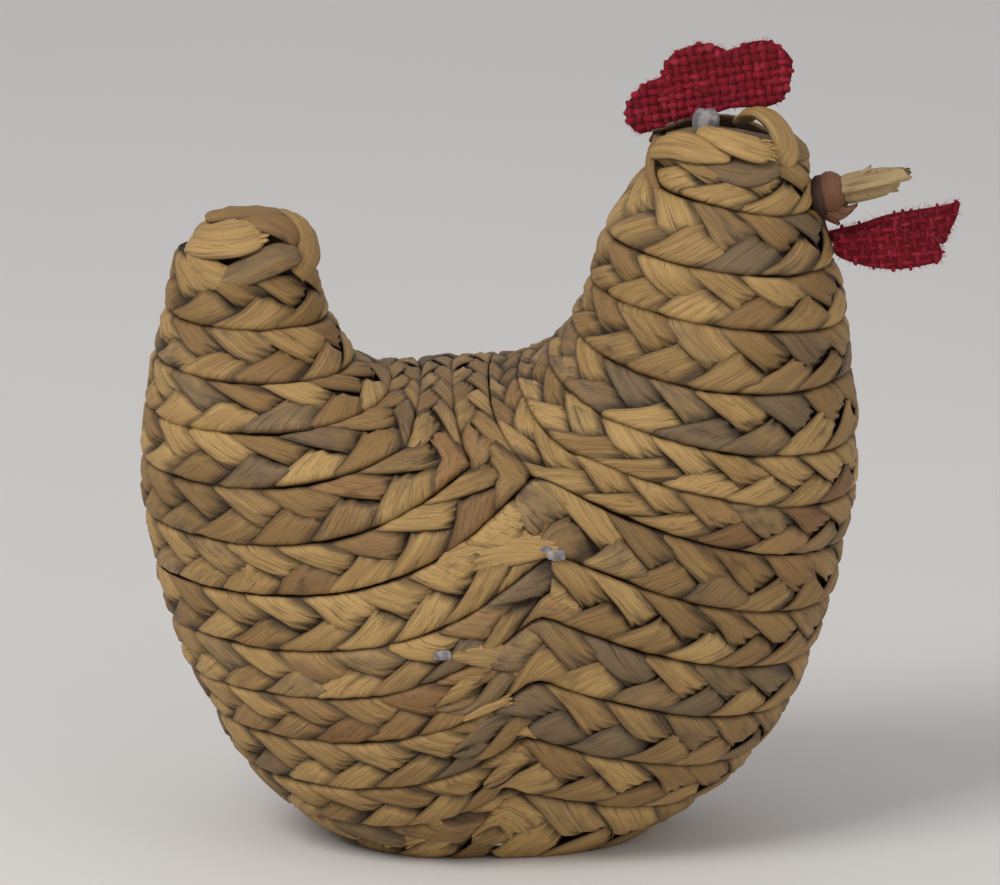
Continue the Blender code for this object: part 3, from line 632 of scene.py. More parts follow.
# Dark torn ends under the knot: x, y, z and half width, in millimetres from the knot's middle
KNOT_TAILS = (
    ((-1.8, -1.2, -2.6, 2.2), (0.4, -2.0, -4.9, 1.8), (2.3, -2.2, -6.6, 0.4)),
    ((-0.6, -2.6, -2.8, 2.4), (2.6, -3.0, -4.6, 1.8), (5.8, -2.4, -3.4, 0.5)),
    ((-2.2, -0.4, -3.0, 1.5), (-1.8, 0.2, -7.0, 1.3), (-0.4, 0.4, -10.6, 1.2)),
    ((1.2, -3.0, -2.6, 1.6), (4.0, -3.2, -3.6, 1.4), (6.6, -2.6, -2.2, 0.5)),
)
STEM_RADIUS = 4.0 * MM
STEM_LENGTH = 15.4 * MM
STEM_START = 3.0 * MM
STEM_PROFILE = (0.86, 1.0, 1.02, 1.0, 0.96, 0.9, 0.78, 0.7)
STEM_TURNS = 2.3
STEM_SHRINK = 0.2  # share of its radius that the roll loses in a turn
STEM_SHEET = 0.35 * MM
# Torn slivers at the stub's tip: place along, height over the axis and lean, in millimetres
STUB_SLIVERS = (
    (9.5, 3.4, 0.9), (10.6, 2.9, 0.5), (13.5, 2.7, 0.2), (14.5, -1.6, -0.4), (15.5, 1.5, 0.1),
    (15.0, 0.2, -0.3),
)

# Glue: middle and half sizes in millimetres
GLUE_SPOTS = ((49.4, -3.4, 173.2, 3.1, 1.7, 3.2), (49.9, -5.4, 171.4, 2.4, 1.3, 1.4))
SEAM_GLUE = ((14.3, 80.3, 2.2, 1.2, 1.3), (12.0, 81.6, 1.3, 0.9, 0.9), (-12.2, 56.0, 2.3, 0.8, 1.2),
             (0.6, 4.6, 1.4, 0.8, 0.5))

# Leaf ends at the front joints: x, z and half width in millimetres, then the lift off the skin
# at each end, then lightness, greyness and redness
JOINT_ENDS = (
    (((-15.0, 74.6, 0.8), (-9.4, 78.4, 3.4), (-1.8, 81.2, 4.7), (6.4, 82.6, 4.6), (13.6, 82.0, 2.0)),
     0.2, 0.9, (1.0, -2.0, 1.0)),
    (((-9.8, 55.6, 1.0), (-5.0, 56.2, 2.8), (1.0, 55.4, 3.4), (6.6, 52.4, 2.2)), 0.8, 0.2, (0.5, 0.8, -1.0)),
    (((-7.5, 40.0, 0.6), (-2.6, 42.6, 1.4), (3.0, 44.8, 1.0)), 0.8, 0.3, (0.6, -0.4, -0.6)),
    (((1.2, 34.9, 0.8), (5.4, 37.0, 1.5), (9.4, 35.6, 0.7)), 0.8, 0.3, (1.0, -0.6, -0.4)),
    (((-12.0, 11.6, 2.0), (-19.0, 7.6, 3.0), (-26.5, 4.0, 1.8)), 0.4, 1.2, (0.6, -0.4, 0.2)),
    (((-9.4, 8.0, 1.6), (-14.5, 4.8, 2.2), (-20.0, 3.0, 1.2)), 0.6, 1.2, (1.0, -0.6, -0.4)),
)
JOINT_CENTRE = (4, 30, 50)


def beak_axis():
    """Unit vectors along the beak and up from it."""
    return (np.array([cos(BEAK_TILT), 0, sin(BEAK_TILT)]),
            np.array([-sin(BEAK_TILT), 0, cos(BEAK_TILT)]))


def wrap_path(centre, first, last, radius, place, half, rows=14):
    """Path of a strap round the beak: cos and sin of the turn across its axis, times a radius."""
    turn = np.radians(np.linspace(first, last, rows))
    along, rise = beak_axis()
    drift = place + 0.5 * np.linspace(-1, 1, rows)
    points = np.asarray(centre) + drift[:, None] * along + radius * (
        np.cos(turn)[:, None] * np.array([0, -1, 0]) + np.sin(turn)[:, None] * rise)
    return np.column_stack([points, np.full(rows, half)])


def rolled_grid(centre, seed):
    """A leaf rolled on the beak's axis, as rings along it: out to in, then back under itself.

    The radius falls by the shrink in each turn, and the inner face lies a sheet further in.
    """
    draw = np.random.default_rng(seed)
    share = np.linspace(0, 1, 44)[:, None]
    turn = np.linspace(0, 2 * pi * STEM_TURNS, 60)
    turn = np.concatenate([turn, turn[::-1]])[None, :]
    sheet = np.repeat([0, 1], 60)[None, :] * STEM_SHEET
    profile = between(np.array(STEM_PROFILE), share[:, 0] * (len(STEM_PROFILE) - 1))
    pleats = 0.1 * MM * np.sin(7 * turn + 2.0 * share) + 0.08 * MM * np.sin(13 * turn - 3 * share)
    radius = STEM_RADIUS * profile * (1 - STEM_SHRINK * turn / (2 * pi)) - sheet + pleats
    ragged = 0.9 * np.sin(2.3 * turn + 1) + 0.6 * np.sin(7.1 * turn) + draw.uniform(-0.35, 0.35, turn.shape)
    torn = np.where(np.sin(turn) < -0.1, -3.2, 0.4) + ragged
    place = STEM_START + share * STEM_LENGTH + np.clip(3 * share - 2, 0, 1) * torn * MM
    y = -radius * np.cos(turn)
    up = radius * np.sin(turn)
    x = place * cos(BEAK_TILT) - up * sin(BEAK_TILT)
    z = place * sin(BEAK_TILT) + up * cos(BEAK_TILT)
    grid = np.stack([x, y, z], -1) + np.asarray(centre) * MM
    leaf = np.stack(np.broadcast_arrays(place, radius * turn, 0.7 + 0 * turn), -1)
    tone_and_shade = np.broadcast_arrays(0.4 + 1.6 * share**3, -1.0 - share, -0.6 + 0 * turn, 1.0 + 0 * turn)
    return grid, leaf, 0.5 + 0.25 * np.stack(tone_and_shade, -1)


def blob_grid(spot, seed):
    """A lump of glue: an ellipsoid whose sines and cosines are raised to 0.7, with waves on it."""
    spot = np.asarray(spot, float) * MM
    a = np.linspace(0.03, pi - 0.03, 22)[:, None]
    q = np.linspace(0, 2 * pi, 28, endpoint=False)[None, :]

    def square(wave):
        return np.sign(wave) * np.abs(wave) ** 0.7

    lumps = 1 + 0.06 * np.sin(2 * q + 2 * a + seed) + 0.04 * np.sin(5 * a - 2 * q + 2 * seed)
    ball = np.stack([square(np.sin(a)) * square(np.cos(q)), square(np.sin(a)) * square(np.sin(q)),
                     square(np.cos(a)) + 0 * q], -1)
    grid = spot[:3] + ball * spot[3:] * lumps[..., None]
    return grid, grid * 1.0, np.full((*grid.shape[:2], 4), 0.75)


def front_skin():
    """Points all over the front of the skin, in millimetres."""
    spread = []
    for skin, lines in ((tail, TAIL_LINES), (neck, NECK_LINES), (body, BODY_LINES)):
        t, angle = np.meshgrid(np.linspace(0, len(lines) - 1, 100), np.linspace(0, pi, 260))
        spread.append(skin(t, angle).reshape(-1, 3) / MM)
    return np.concatenate(spread)


def laid_path(points, lift, skin):
    """Path over the front of the skin: y is the mean of the nearest points' there, less a lift."""
    rows = np.asarray(points, float)
    lifts = np.linspace(lift[0], lift[1], len(rows))
    far = np.hypot(rows[:, :1] - skin[:, 0], rows[:, 1:2] - skin[:, 2])
    near = np.argsort(far, axis=1)[:, :12]
    y = skin[near, 1].mean(axis=1) - lifts
    return np.column_stack([rows[:, 0], y, rows[:, 1], rows[:, 2]])


# Cloth
THREAD_PITCH = 2.08 * MM
THREAD_RADIUS = 0.68 * MM
THREAD_STEP = 0.4 * MM
WEAVE_RISE = 0.42 * MM
CLOTH_THIN = 0.3 * MM

COMB_EDGE = (
    (30.7, 175.6), (34.3, 181.0), (39.0, 183.6), (41.4, 188.6), (48.0, 191.2), (53.4, 190.0),
    (55.2, 188.6), (58.6, 191.2), (64.4, 191.8), (69.4, 187.6), (68.6, 180.0), (64.6, 176.3),
    (55.0, 175.8), (47.6, 174.0), (41.4, 172.4), (35.0, 169.6), (31.8, 171.2),
)
# Points round a wattle leaf: out from the neck and up from its root, in millimetres.
FRONT_LEAF = (
    (1.2, -0.6), (2.0, -4.0), (8.6, -6.4), (15.6, -7.2), (22.6, -6.2), (26.4, -4.8),
    (25.8, -0.8), (23.2, 1.3), (19.4, 1.5), (14.2, 3.0), (8.4, 1.7), (2.0, 0.8),
)
BACK_LEAF = (
    (0.0, 1.4), (7.0, 3.3), (13.6, 5.5), (20.4, 6.7), (27.4, 7.9), (30.6, 8.7),
    (30.0, 4.9), (28.2, 1.3), (26.6, -1.5), (18.0, -0.3), (10.0, -0.7), (1.2, -1.2),
)
WATTLE_LINE = 1.62  # course line of the neck at which the wattle's root lies
LEAF_SEAT = 0.7 * MM
# Of each cloth: its edge, the plane that it ripples about, the slant of its threads and how far
# they lean from square, their size as a share of the comb's, how light their tones may get (low on
# the back leaf, as painted shade), the number of loose fibres, and its flat size and area.
CLOTHS = {
    "comb": {
        "edge": COMB_EDGE, "y": 0.0, "ripple": 0.45 * MM, "slant": 0.16, "lean": 0.0, "share": 1.0,
        "tones": 1.0, "fibres": 420, "flat": (38.7 * MM, 20.2 * MM), "area": 522e-6,
        "held": "stretched", "rests_on": "comb_glue_blob"},
    "wattle_front": {
        "edge": FRONT_LEAF, "y": -1.6 * MM, "ripple": 0.12 * MM, "slant": 0.06, "lean": 0.1,
        "share": 0.62, "tones": 1.0, "fibres": 260, "flat": (25.2 * MM, 10.2 * MM), "area": 205e-6,
        "held": "hung", "rests_on": "neck_braid"},
    # The back leaf's threads stay dark: painted shade behind the front leaf.
    "wattle_back": {
        "edge": BACK_LEAF, "y": 0.05 * MM, "ripple": 0.12 * MM, "slant": 0.22, "lean": -0.1,
        "share": 0.62, "tones": 0.2, "fibres": 300, "flat": (31.0 * MM, 10.2 * MM), "area": 180e-6,
        "held": "hung", "rests_on": "neck_braid"},
}
FIBRE_LENGTH = 1.6 * MM
FIBRE_RADIUS = 0.06 * MM


def edge_curve(corners, origin=(0.0, 0.0), steps=10):
    """Closed Catmull-Rom curve through the corners, in metres, from millimetres."""
    loop = np.concatenate([corners[-1:], corners, corners[:2]])
    t = 1 + np.arange(len(corners) * steps) / steps
    return between(loop, t) * MM + np.asarray(origin)


def inside(edge, x, z):
    """Whether points lie inside the edge: an odd number of its sides cross the ray to the right."""
    x, z = x[..., None], z[..., None]
    x1, z1 = edge[:, 0], edge[:, 1]
    x2, z2 = np.roll(x1, -1), np.roll(z1, -1)
    spans = (z1 > z) != (z2 > z)
    rise = np.where(z2 == z1, 1e-12, z2 - z1)
    return (spans & (x < x1 + (z - z1) * (x2 - x1) / rise)).sum(axis=-1) % 2 == 1


def rippled(y, ripple):
    """A surface about y: the ripple times a sine of x times a cosine of z."""

    def wave(x, z):
        return y + ripple * np.sin(x / (7 * MM)) * np.cos(z / (6 * MM))

    return wave


def cloth_base(name, edge, wave):
    """The cloth's body: rings of its edge shrunk to the middle, front and back, both on the wave."""
    centre = edge.mean(axis=0)
    shares = np.array([1.0, 0.85, 0.7, 0.55, 0.4, 0.25, 0.1])
    rings = centre + (edge - centre) * shares[:, None, None]
    front = np.concatenate([rings[::-1], rings])
    y = wave(front[..., 0], front[..., 1])
    y = y + CLOTH_THIN / 2 * np.repeat([-1, 1], len(shares))[:, None]
    grid = np.stack([front[..., 0], y, front[..., 1]], -1)
    return tubes_mesh(name, [grid], {})


def thread_grids(edge, wave, cut, radius, seed):
    """Threads of a plain weave: straight lines a pitch apart that rise and fall by a sine.

    A thread is cut where it leaves the edge, and reaches past it by a random fray.
    """
    draw = np.random.default_rng(seed)
    slant, rise = cut["slant"], WEAVE_RISE * cut["share"]
    centre = edge.mean(axis=0)
    reach = np.abs(edge - centre).max() * 1.3
    r = np.arange(-reach, reach, THREAD_STEP)
    grids = []
    for turn, flip in ((slant, 0), (slant + pi / 2 + cut["lean"], 1)):
        way = np.array([cos(turn), sin(turn)])
        over = np.array([-sin(turn), cos(turn)])
        for i in range(-int(reach / THREAD_PITCH), int(reach / THREAD_PITCH) + 1):
            drift = 0.2 * MM * wander(r, 11 * MM, seed + 7 * i + flip)
            line = centre + r[:, None] * way + (i * THREAD_PITCH + drift)[:, None] * over
            held = inside(edge, line[:, 0], line[:, 1])
            if held.sum() < 4:
                continue
            first, last = np.argmax(held), len(held) - np.argmax(held[::-1])
            first = max(0, first - int(draw.integers(0, 3)))
            last = min(len(r), last + int(draw.integers(0, 3)))
            part = line[first:last]
            s = r[first:last]
            y = wave(part[:, 0], part[:, 1]) - rise * np.sin(pi * (s / THREAD_PITCH + i + flip + 0.5))
            spine = np.stack([part[:, 0], y, part[:, 1]], -1)
            q = np.linspace(0, 2 * pi, 6, endpoint=False)
            ends = np.clip(np.minimum(np.arange(len(s)), np.arange(len(s))[::-1]) / 2 + 0.45, 0, 1)
            size = radius * (1 + 0.28 * wander(s, 5 * MM, seed + 11 * i + flip)) * ends
            flat = np.array([over[0], 0, over[1]])
            grid = spine[:, None] + size[:, None, None] * (
                np.cos(q)[None, :, None] * flat * 1.05 + np.sin(q)[None, :, None] * np.array([0, 0.72, 0]))
            tone = np.array([draw.uniform(0, cut["tones"]), 0.5, 0.5, 1.0])
            place = np.broadcast_arrays(s[:, None], q[None, :] * radius, np.float64(0.31 * i + flip))
            grids.append((grid, np.stack(place, -1), np.broadcast_to(tone, (*grid.shape[:2], 4))))
    return grids


def fuzz_grids(edge, wave, count, seed):
    """Loose fibres: thin bent tubes out of the cut edge, and a quarter of them off the weave."""
    draw = np.random.default_rng(seed)
    index = draw.integers(0, len(edge), count)
    ahead = np.roll(edge, -1, axis=0) - edge
    normal = unit(np.stack([ahead[:, 1], -ahead[:, 0]], -1))
    middle = edge.mean(axis=0)
    away = np.sign(((edge - middle) * normal).sum(axis=-1, keepdims=True))
    grids = []
    for n, i in enumerate(index):
        inner = draw.uniform(0, 1) < 0.25
        root = edge[i] + (middle - edge[i]) * (draw.uniform(0.05, 0.95) if inner else 0.02)
        turn = draw.uniform(-1.1, 1.1)
        way = normal[i] * away[i]
        way = np.array([way[0] * cos(turn) - way[1] * sin(turn), way[0] * sin(turn) + way[1] * cos(turn)])
        y = float(wave(root[0], root[1])) - (0.8 * MM if inner else draw.uniform(-0.5, 0.5) * MM)
        far = FIBRE_LENGTH * draw.uniform(0.25, 1.0) * (0.7 if inner else 1)
        bend = draw.uniform(-0.5, 0.5)
        s = np.linspace(0, 1, 5)[:, None]
        side = np.array([-way[1], way[0]])
        flat = root + way * far * s + side * bend * far * s**2
        spine = np.stack([flat[:, 0], y + far * draw.uniform(-0.35, 0.35) * s[:, 0], flat[:, 1]], -1)
        q = np.array([0, 2 * pi / 3, 4 * pi / 3])
        size = FIBRE_RADIUS * (1 - 0.6 * s)
        ring = np.stack([np.cos(q) * side[0], np.sin(q), np.cos(q) * side[1]], -1)
        grid = spine[:, None] + size[..., None] * ring
        tone = np.broadcast_to(np.array([1.0, 1.0, 0.5, 1.0]), (5, 3, 4))
        place = np.zeros((5, 3, 3)) + 0.17 * n
        grids.append((grid, place, tone))
    return grids


# Shaders


def operator(operation, swapped=False):
    """A method that adds a Math node on a value and another, or on the two swapped round."""

    def method(self, other):
        return self.math(operation, *((other, self) if swapped else (self, other)))

    return method


class Value:
    """One output of a shader node, with arithmetic that adds Math nodes."""

    def __init__(self, tree, out=None):
        self.tree = tree
        self.out = out

    def node(self, kind, settings=None, inputs=None, output=0):
        """Adds any node: its settings first, then its sockets' values or links."""
        made = self.tree.nodes.new(kind)
        for key, value in (settings or {}).items():
            setattr(made, key, value)
        for key, value in (inputs or {}).items():
            if isinstance(value, Value):
                self.tree.links.new(value.out, made.inputs[key])
            else:
                made.inputs[key].default_value = value
        return Value(self.tree, made.outputs[output])

    def math(self, operation, *values):
        """A Math node on numbers and values."""
        return self.node("ShaderNodeMath", {"operation": operation}, dict(enumerate(values)))

    __add__, __radd__ = operator("ADD"), operator("ADD", True)
    __sub__, __rsub__ = operator("SUBTRACT"), operator("SUBTRACT", True)
    __mul__, __rmul__ = operator("MULTIPLY"), operator("MULTIPLY", True)

    def clamped(self, low=0.0, high=1.0):
        """The value held between low and high."""
        return self.node("ShaderNodeClamp", None, {0: self, 1: low, 2: high})

    def ramp(self, low, high):
        """0 below low and 1 above high, with a smooth step between."""
        settings = {"interpolation_type": "SMOOTHSTEP"}
        return self.node("ShaderNodeMapRange", settings, {0: self, 1: low, 2: high, 3: 0.0, 4: 1.0})

    def between(self, first, second, blend="MIX"):
        """The first colour at 0 and the second at 1."""
        settings = {"data_type": "RGBA", "blend_type": blend}
        return self.node("ShaderNodeMix", settings, {0: self, 6: first, 7: second}, 2)

    def scaled(self, x, y, z):
        """A vector times a scale along each axis."""
        settings = {"operation": "MULTIPLY"}
        return self.node("ShaderNodeVectorMath", settings, {0: self, 1: (x, y, z)})

    def noise(self, scale, detail=3.0, roughness=0.5, distortion=0.0):
        """Noise at this vector, from 0 to 1."""
        inputs = {"Vector": self, "Scale": scale, "Detail": detail, "Roughness": roughness,
                  "Distortion": distortion}
        return self.node("ShaderNodeTexNoise", None, inputs)


def new_material(name):
    """An empty node material, and a Value to build its nodes with."""
    material = bpy.data.materials.new(name)
    material.use_nodes = True
    material.node_tree.nodes.clear()
    return material, Value(material.node_tree)


def surface(tree, **inputs):
    """The main shader, from its inputs, linked to the output."""
    shader = tree.node("ShaderNodeBsdfPrincipled", None, inputs)
    output = tree.tree.nodes.new("ShaderNodeOutputMaterial")
    tree.tree.links.new(shader.out, output.inputs["Surface"])


def rgb(red, green, blue):
    """Linear colour of an sRGB one given from 0 to 255."""
    share = np.array([red, green, blue]) / 255
    linear = np.where(share <= 0.04045, share / 12.92, ((share + 0.055) / 1.055) ** 2.4)
    return (*linear.tolist(), 1.0)


def tone_and_shade_parts(tree):
    """The four parts of the tone and shade attribute; the fourth holds the painted shade."""
    tone_and_shade = tree.node("ShaderNodeAttribute", {"attribute_name": "tone_and_shade"})
    parts = tree.node("ShaderNodeSeparateColor", None, {0: tone_and_shade}).out.node
    return [Value(tree.tree, parts.outputs[index]) for index in range(3)] + [
        Value(tree.tree, tone_and_shade.out.node.outputs[3])]


def leaf_material(name, light, tan, grey, red, dark, crevice_shade):
    """Dried leaf: fibre streaks along each strip, the strip's own tone, and painted shade in its crevices,
    at its rims and under the next strap.
    """
    material, tree = new_material(name)
    place = tree.node("ShaderNodeAttribute", {"attribute_name": "leaf"}, None, 1)
    *parts, alpha = tone_and_shade_parts(tree)
    lightness, greyness, redness = ((part - 0.5) * 4 for part in parts)
    shade = (alpha - 0.25) * 2
    fine = place.scaled(70, 2600, 900).noise(1.0, 4.0, 0.7)
    broad = place.scaled(32, 760, 900).noise(1.0, 4.0, 0.65)
    blotch = place.scaled(110, 260, 900).noise(1.0, 3.0, 0.5)
    base = (lightness * 0.48 + 0.42 + (broad - 0.5) * 3.0 + (fine - 0.5) * 1.2).clamped()
    base = base.between(tan, light)
    base = (greyness * 0.8 - 0.5 + (blotch - 0.5) * 2.0).clamped(0.0, 0.85).between(base, grey)
    base = (redness * 0.6 - 0.6 + (broad - 0.5) * 1.5).clamped(0.0, 0.6).between(base, red)
    streak = fine.ramp(0.5, 0.68) * 0.6 + blotch.ramp(0.58, 0.78) * 0.45 + broad.ramp(0.58, 0.72) * 0.45
    base = streak.clamped(0.0, 0.8).between(base, dark)
    # Painted shade: towards the crevice shade colour where the shade part is low
    base = (1 - shade).clamped(0.0, 0.9).between(base, crevice_shade)
    ridge = fine * 0.8 + broad * 1.0
    bump = tree.node("ShaderNodeBump", None, {"Strength": 0.8, "Distance": 0.0006, "Height": ridge})
    rough = 0.50 + fine * 0.22
    surface(tree, **{"Base Color": base, "Roughness": rough, "Normal": bump, "Specular IOR Level": 0.4})
    return material


def cloth_material(name, deep, usual, pale):
    """Dyed jute: spun fibres along each thread, paler worn patches and a pale cut edge."""
    material, tree = new_material(name)
    place = tree.node("ShaderNodeAttribute", {"attribute_name": "leaf"}, None, 1)
    lightness, edge = tone_and_shade_parts(tree)[:2]
    fibre = place.scaled(900, 2600, 400).noise(1.0, 3.0, 0.6)
    worn = tree.node("ShaderNodeTexCoord", None, None, 3).noise(260.0, 3.0, 0.6)
    base = (lightness * 0.35 + fibre * 0.5 + (worn - 0.5) * 0.9).clamped().between(deep, usual)
    base = (worn.ramp(0.5, 0.72) * 0.35 + edge.ramp(0.55, 0.95) * 0.55).clamped().between(base, pale)
    bump = tree.node("ShaderNodeBump", None, {"Strength": 0.7, "Distance": 0.0003, "Height": fibre})
    surface(tree, **{"Base Color": base, "Roughness": 0.85, "Normal": bump, "Specular IOR Level": 0.15,
                     "Sheen Weight": 0.08, "Sheen Roughness": 0.5})
    return material


def glue_material(name, clear, cloudy):
    """Set hot glue: cloudy, glossy and slightly see-through."""
    material, tree = new_material(name)
    place = tree.node("ShaderNodeTexCoord", None, None, 3)
    cloud = place.noise(420.0, 3.0, 0.5)
    base = cloud.ramp(0.4, 0.65).between(clear, cloudy)
    bump = tree.node("ShaderNodeBump", None, {"Strength": 0.3, "Distance": 0.0004, "Height": cloud})
    surface(tree, **{"Base Color": base, "Roughness": 0.28 + cloud * 0.2, "Normal": bump,
                     "Transmission Weight": 0.1, "IOR": 1.45})
    return material


# Stage
CAMERA_DISTANCE = 8.0
CAMERA_RISE = radians(15)
CAMERA_AIM = (1.2, 0.64, 94.4)  # point in the middle of the picture, in millimetres
VIEW_WIDTH = 235 * MM  # width that the picture shows there
SENSOR = 36
FLOOR_REACH = 6.0
# Name, place, power and size of each lamp, and the point that they light
LAMPS = (("key", (-0.75, -0.75, 1.15), 12.6, 0.7), ("fill", (0.9, -0.9, 0.5), 3.2, 0.9))
LAMP_AIM = (0, 0, 0.09)
SKY = {"Color": (0.93, 0.93, 0.97, 1.0), "Strength": 0.55}


def placed(thing, place, aim):
    """The thing in the scene at the place, turned to the aim."""
    thing.location = place
    thing.rotation_euler = (Vector(aim) - thing.location).to_track_quat("-Z", "Y").to_euler()
    bpy.context.scene.collection.objects.link(thing)


# Panel, settings and operators


# Colours out of 255: usual, weathered, reddish, dark streaks, and the painted shade of the crevices
KNOT_LEAF = ((92, 60, 42), (62, 44, 36), (112, 68, 44), (36, 22, 16), (16, 10, 7))
STUB_LEAF = ((150, 122, 84), (112, 90, 66), (132, 98, 66), (84, 62, 40), (30, 20, 12))


def colour(name, description, *srgb):
    """A colour that the user can change, from its parts out of 255."""
    return bpy.props.FloatVectorProperty(
        name=name, description=description, subtype="COLOR", size=4, min=0, max=1, default=rgb(*srgb))


def size(name, description, default):
    """A length that the user can change."""
    return bpy.props.FloatProperty(
        name=name, description=description, subtype="DISTANCE", unit="LENGTH", min=0, default=default,
        precision=5)


class HenSettings(bpy.types.PropertyGroup):
    """Sizes and colours of the hen's finish."""

    strand_width: size("Strand width", "Width of one strand of a plait", STRAND_WIDTH)
    strand_thick: size("Strand thickness", "From a strand's middle to either face", STRAND_THICK)
    thread_radius: size("Thread radius", "Radius of the comb's threads", THREAD_RADIUS)
    camera_distance: size("Camera distance", "From the camera to the hen", CAMERA_DISTANCE)
    leaf_light: colour("Leaf, light", "Lightest leaf", 184, 148, 90)
    leaf_tan: colour("Leaf, tan", "Usual leaf", 143, 110, 63)
    leaf_grey: colour("Leaf, grey", "Weathered leaf", 113, 93, 68)
    leaf_red: colour("Leaf, reddish", "Reddish leaf", 126, 84, 49)
    knot: colour("Knot", "Lightest leaf of the beak's knot", 134, 92, 64)
    stub: colour("Stub", "Lightest leaf of the beak's stub", 176, 150, 106)
    glue: colour("Glue", "Clear part of the glue", 112, 104, 106)
    cloth_deep: colour("Cloth, deep", "Red between the threads", 92, 4, 18)
    cloth: colour("Cloth", "Red of the threads", 166, 22, 44)
    cloth_pale: colour("Cloth, pale", "Worn and cut red", 190, 72, 92)


def settings():
    """The hen's settings in this scene."""
    return bpy.context.scene.hen


def dress(piece, slot, *nodes, material):
    """The piece rides on the body in place of the nodes, with the given material. The slot is not used."""
    piece.data.materials.append(material)
    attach(piece, BODY)
    if nodes:
        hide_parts(*nodes)
    return piece


def leaf_finish():
    """The one leaf material that all strips share."""
    hen = settings()
    made = bpy.data.materials.get("leaf")
    # Its last two colours are dark streaks and the painted shade of the crevices.
    return made or leaf_material("leaf", hen.leaf_light, hen.leaf_tan, hen.leaf_grey, hen.leaf_red,
                                 rgb(66, 44, 23), rgb(24, 14, 7))


class HEN_OT_plaits(bpy.types.Operator):
    """Braids the plaits of the tail, the neck, the body and the base"""

    bl_idname = "hen.plaits"
    bl_label = "Braid the plaits"

    def execute(self, context):
        leaf = leaf_finish()
        horns = (("tail", tail, len(TAIL_LINES) - 1, 11), ("neck", neck, len(NECK_LINES) - 1, 23))
        for name, skin, last, seed in horns:
            piece = braid(name + "_braid", skin, wound(last), PLAIT_START, last - PLAIT_END, seed,
                          HORN_TAPER)
            dress(piece, "plait", name + "_plait", material=leaf)
        for line, (joint, pointed) in enumerate(JOINTS):
            piece = braid(f"body_braid_{line + 1}", body, ring(line, joint),
                          POINT_START if pointed else BUTT_START, RING_END, 31 + line, RING_TAPER,
                          RING_SINK, RING_FLOOR, True, POINT if pointed else 0.0)
            dress(piece, "plait", f"body_plait_{line + 1}", material=leaf)
        piece = braid("base_braid", underside, coil(COIL_TURNS), COIL_START, COIL_END, 61, COIL_TAPER)
        dress(piece, "plait", "base_coil", material=leaf)
        return {"FINISHED"}


class HEN_OT_tips(bpy.types.Operator):
    """Folds the leaf strips over the tip of the tail and the crown"""

    bl_idname = "hen.tips"
    bl_label = "Fold the tips"

    def execute(self, context):
        leaf = leaf_finish()
        for name, (paths, centre, seed, nodes, toned, torn) in TIPS.items():
            grids = [strip_grid(path, centre, seed + i, 0.8 * MM, 0.25, 1.2 if key == torn else 0.0)
                     for i, (key, path) in enumerate(paths.items())]
            tones = {list(paths).index(key): tone for key, tone in toned.items()}
            for i, path in enumerate(frayed(paths[torn], centre, 0.8, 2.4, 6, seed)):
                tones[len(grids)] = TORN_TONE
                grids.append(strip_grid(path, centre, seed + 20 + i, 0.25 * MM, 0.1))
            dress(strips(name, grids, tones), "plait", *nodes, material=leaf)
        return {"FINISHED"}


class HEN_OT_beak(bpy.types.Operator):
    """Winds the dark knot of the beak and rolls its stub"""

    bl_idname = "hen.beak"
    bl_label = "Make the beak"

    def execute(self, context):
        hen = settings()
        dark = leaf_material("dark_leaf", hen.knot, *(rgb(*each) for each in KNOT_LEAF))
        pale = leaf_material("pale_leaf", hen.stub, *(rgb(*each) for each in STUB_LEAF))
        centre = neck(BEAK_LINE, pi) / MM + np.array(KNOT_SEAT)
        grids = [strip_grid(wrap_path(centre, *wrap), centre, 301 + i, 0.9 * MM, 0.5)
                 for i, wrap in enumerate(KNOT_WRAPS)]
        for i, path in enumerate(KNOT_TAILS):
            path = np.asarray(path) + (*centre, 0)
            grids.append(strip_grid(path, centre + (0, 6, 0), 321 + i, 0.5 * MM, 0.3, 0.8))
        tones = {0: (-2.0, 1.5, 0.0), 1: (0.8, -1.5, 2.0), 2: (-1.0, 0.5, 0.5)}
        dress(strips("beak_knot_straps", grids, tones), "dark_leaf", "beak_knot", material=dark)
        grids = [rolled_grid(centre, 341)]
        ahead, rise = beak_axis()
        for i, (far, up, lean) in enumerate(STUB_SLIVERS):
            root = centre + ahead * far + rise * up + (0, -1.4, 0)
            tip = root + ahead * 2.0 + rise * lean * 2
            path = [[*(root - ahead * 1.5), 0.5], [*((root + tip) / 2), 0.55], [*tip, 0.15]]
            grids.append(strip_grid(path, centre + ahead * far + (0, 3, 0), 361 + i, 0.18 * MM, 0.1))
        tones = {i: (1.2, -1.5, -1.0) for i in range(1, len(grids))}
        dress(strips("beak_stub_roll", grids, tones), "pale_leaf", "beak_stem", material=pale)
        return {"FINISHED"}


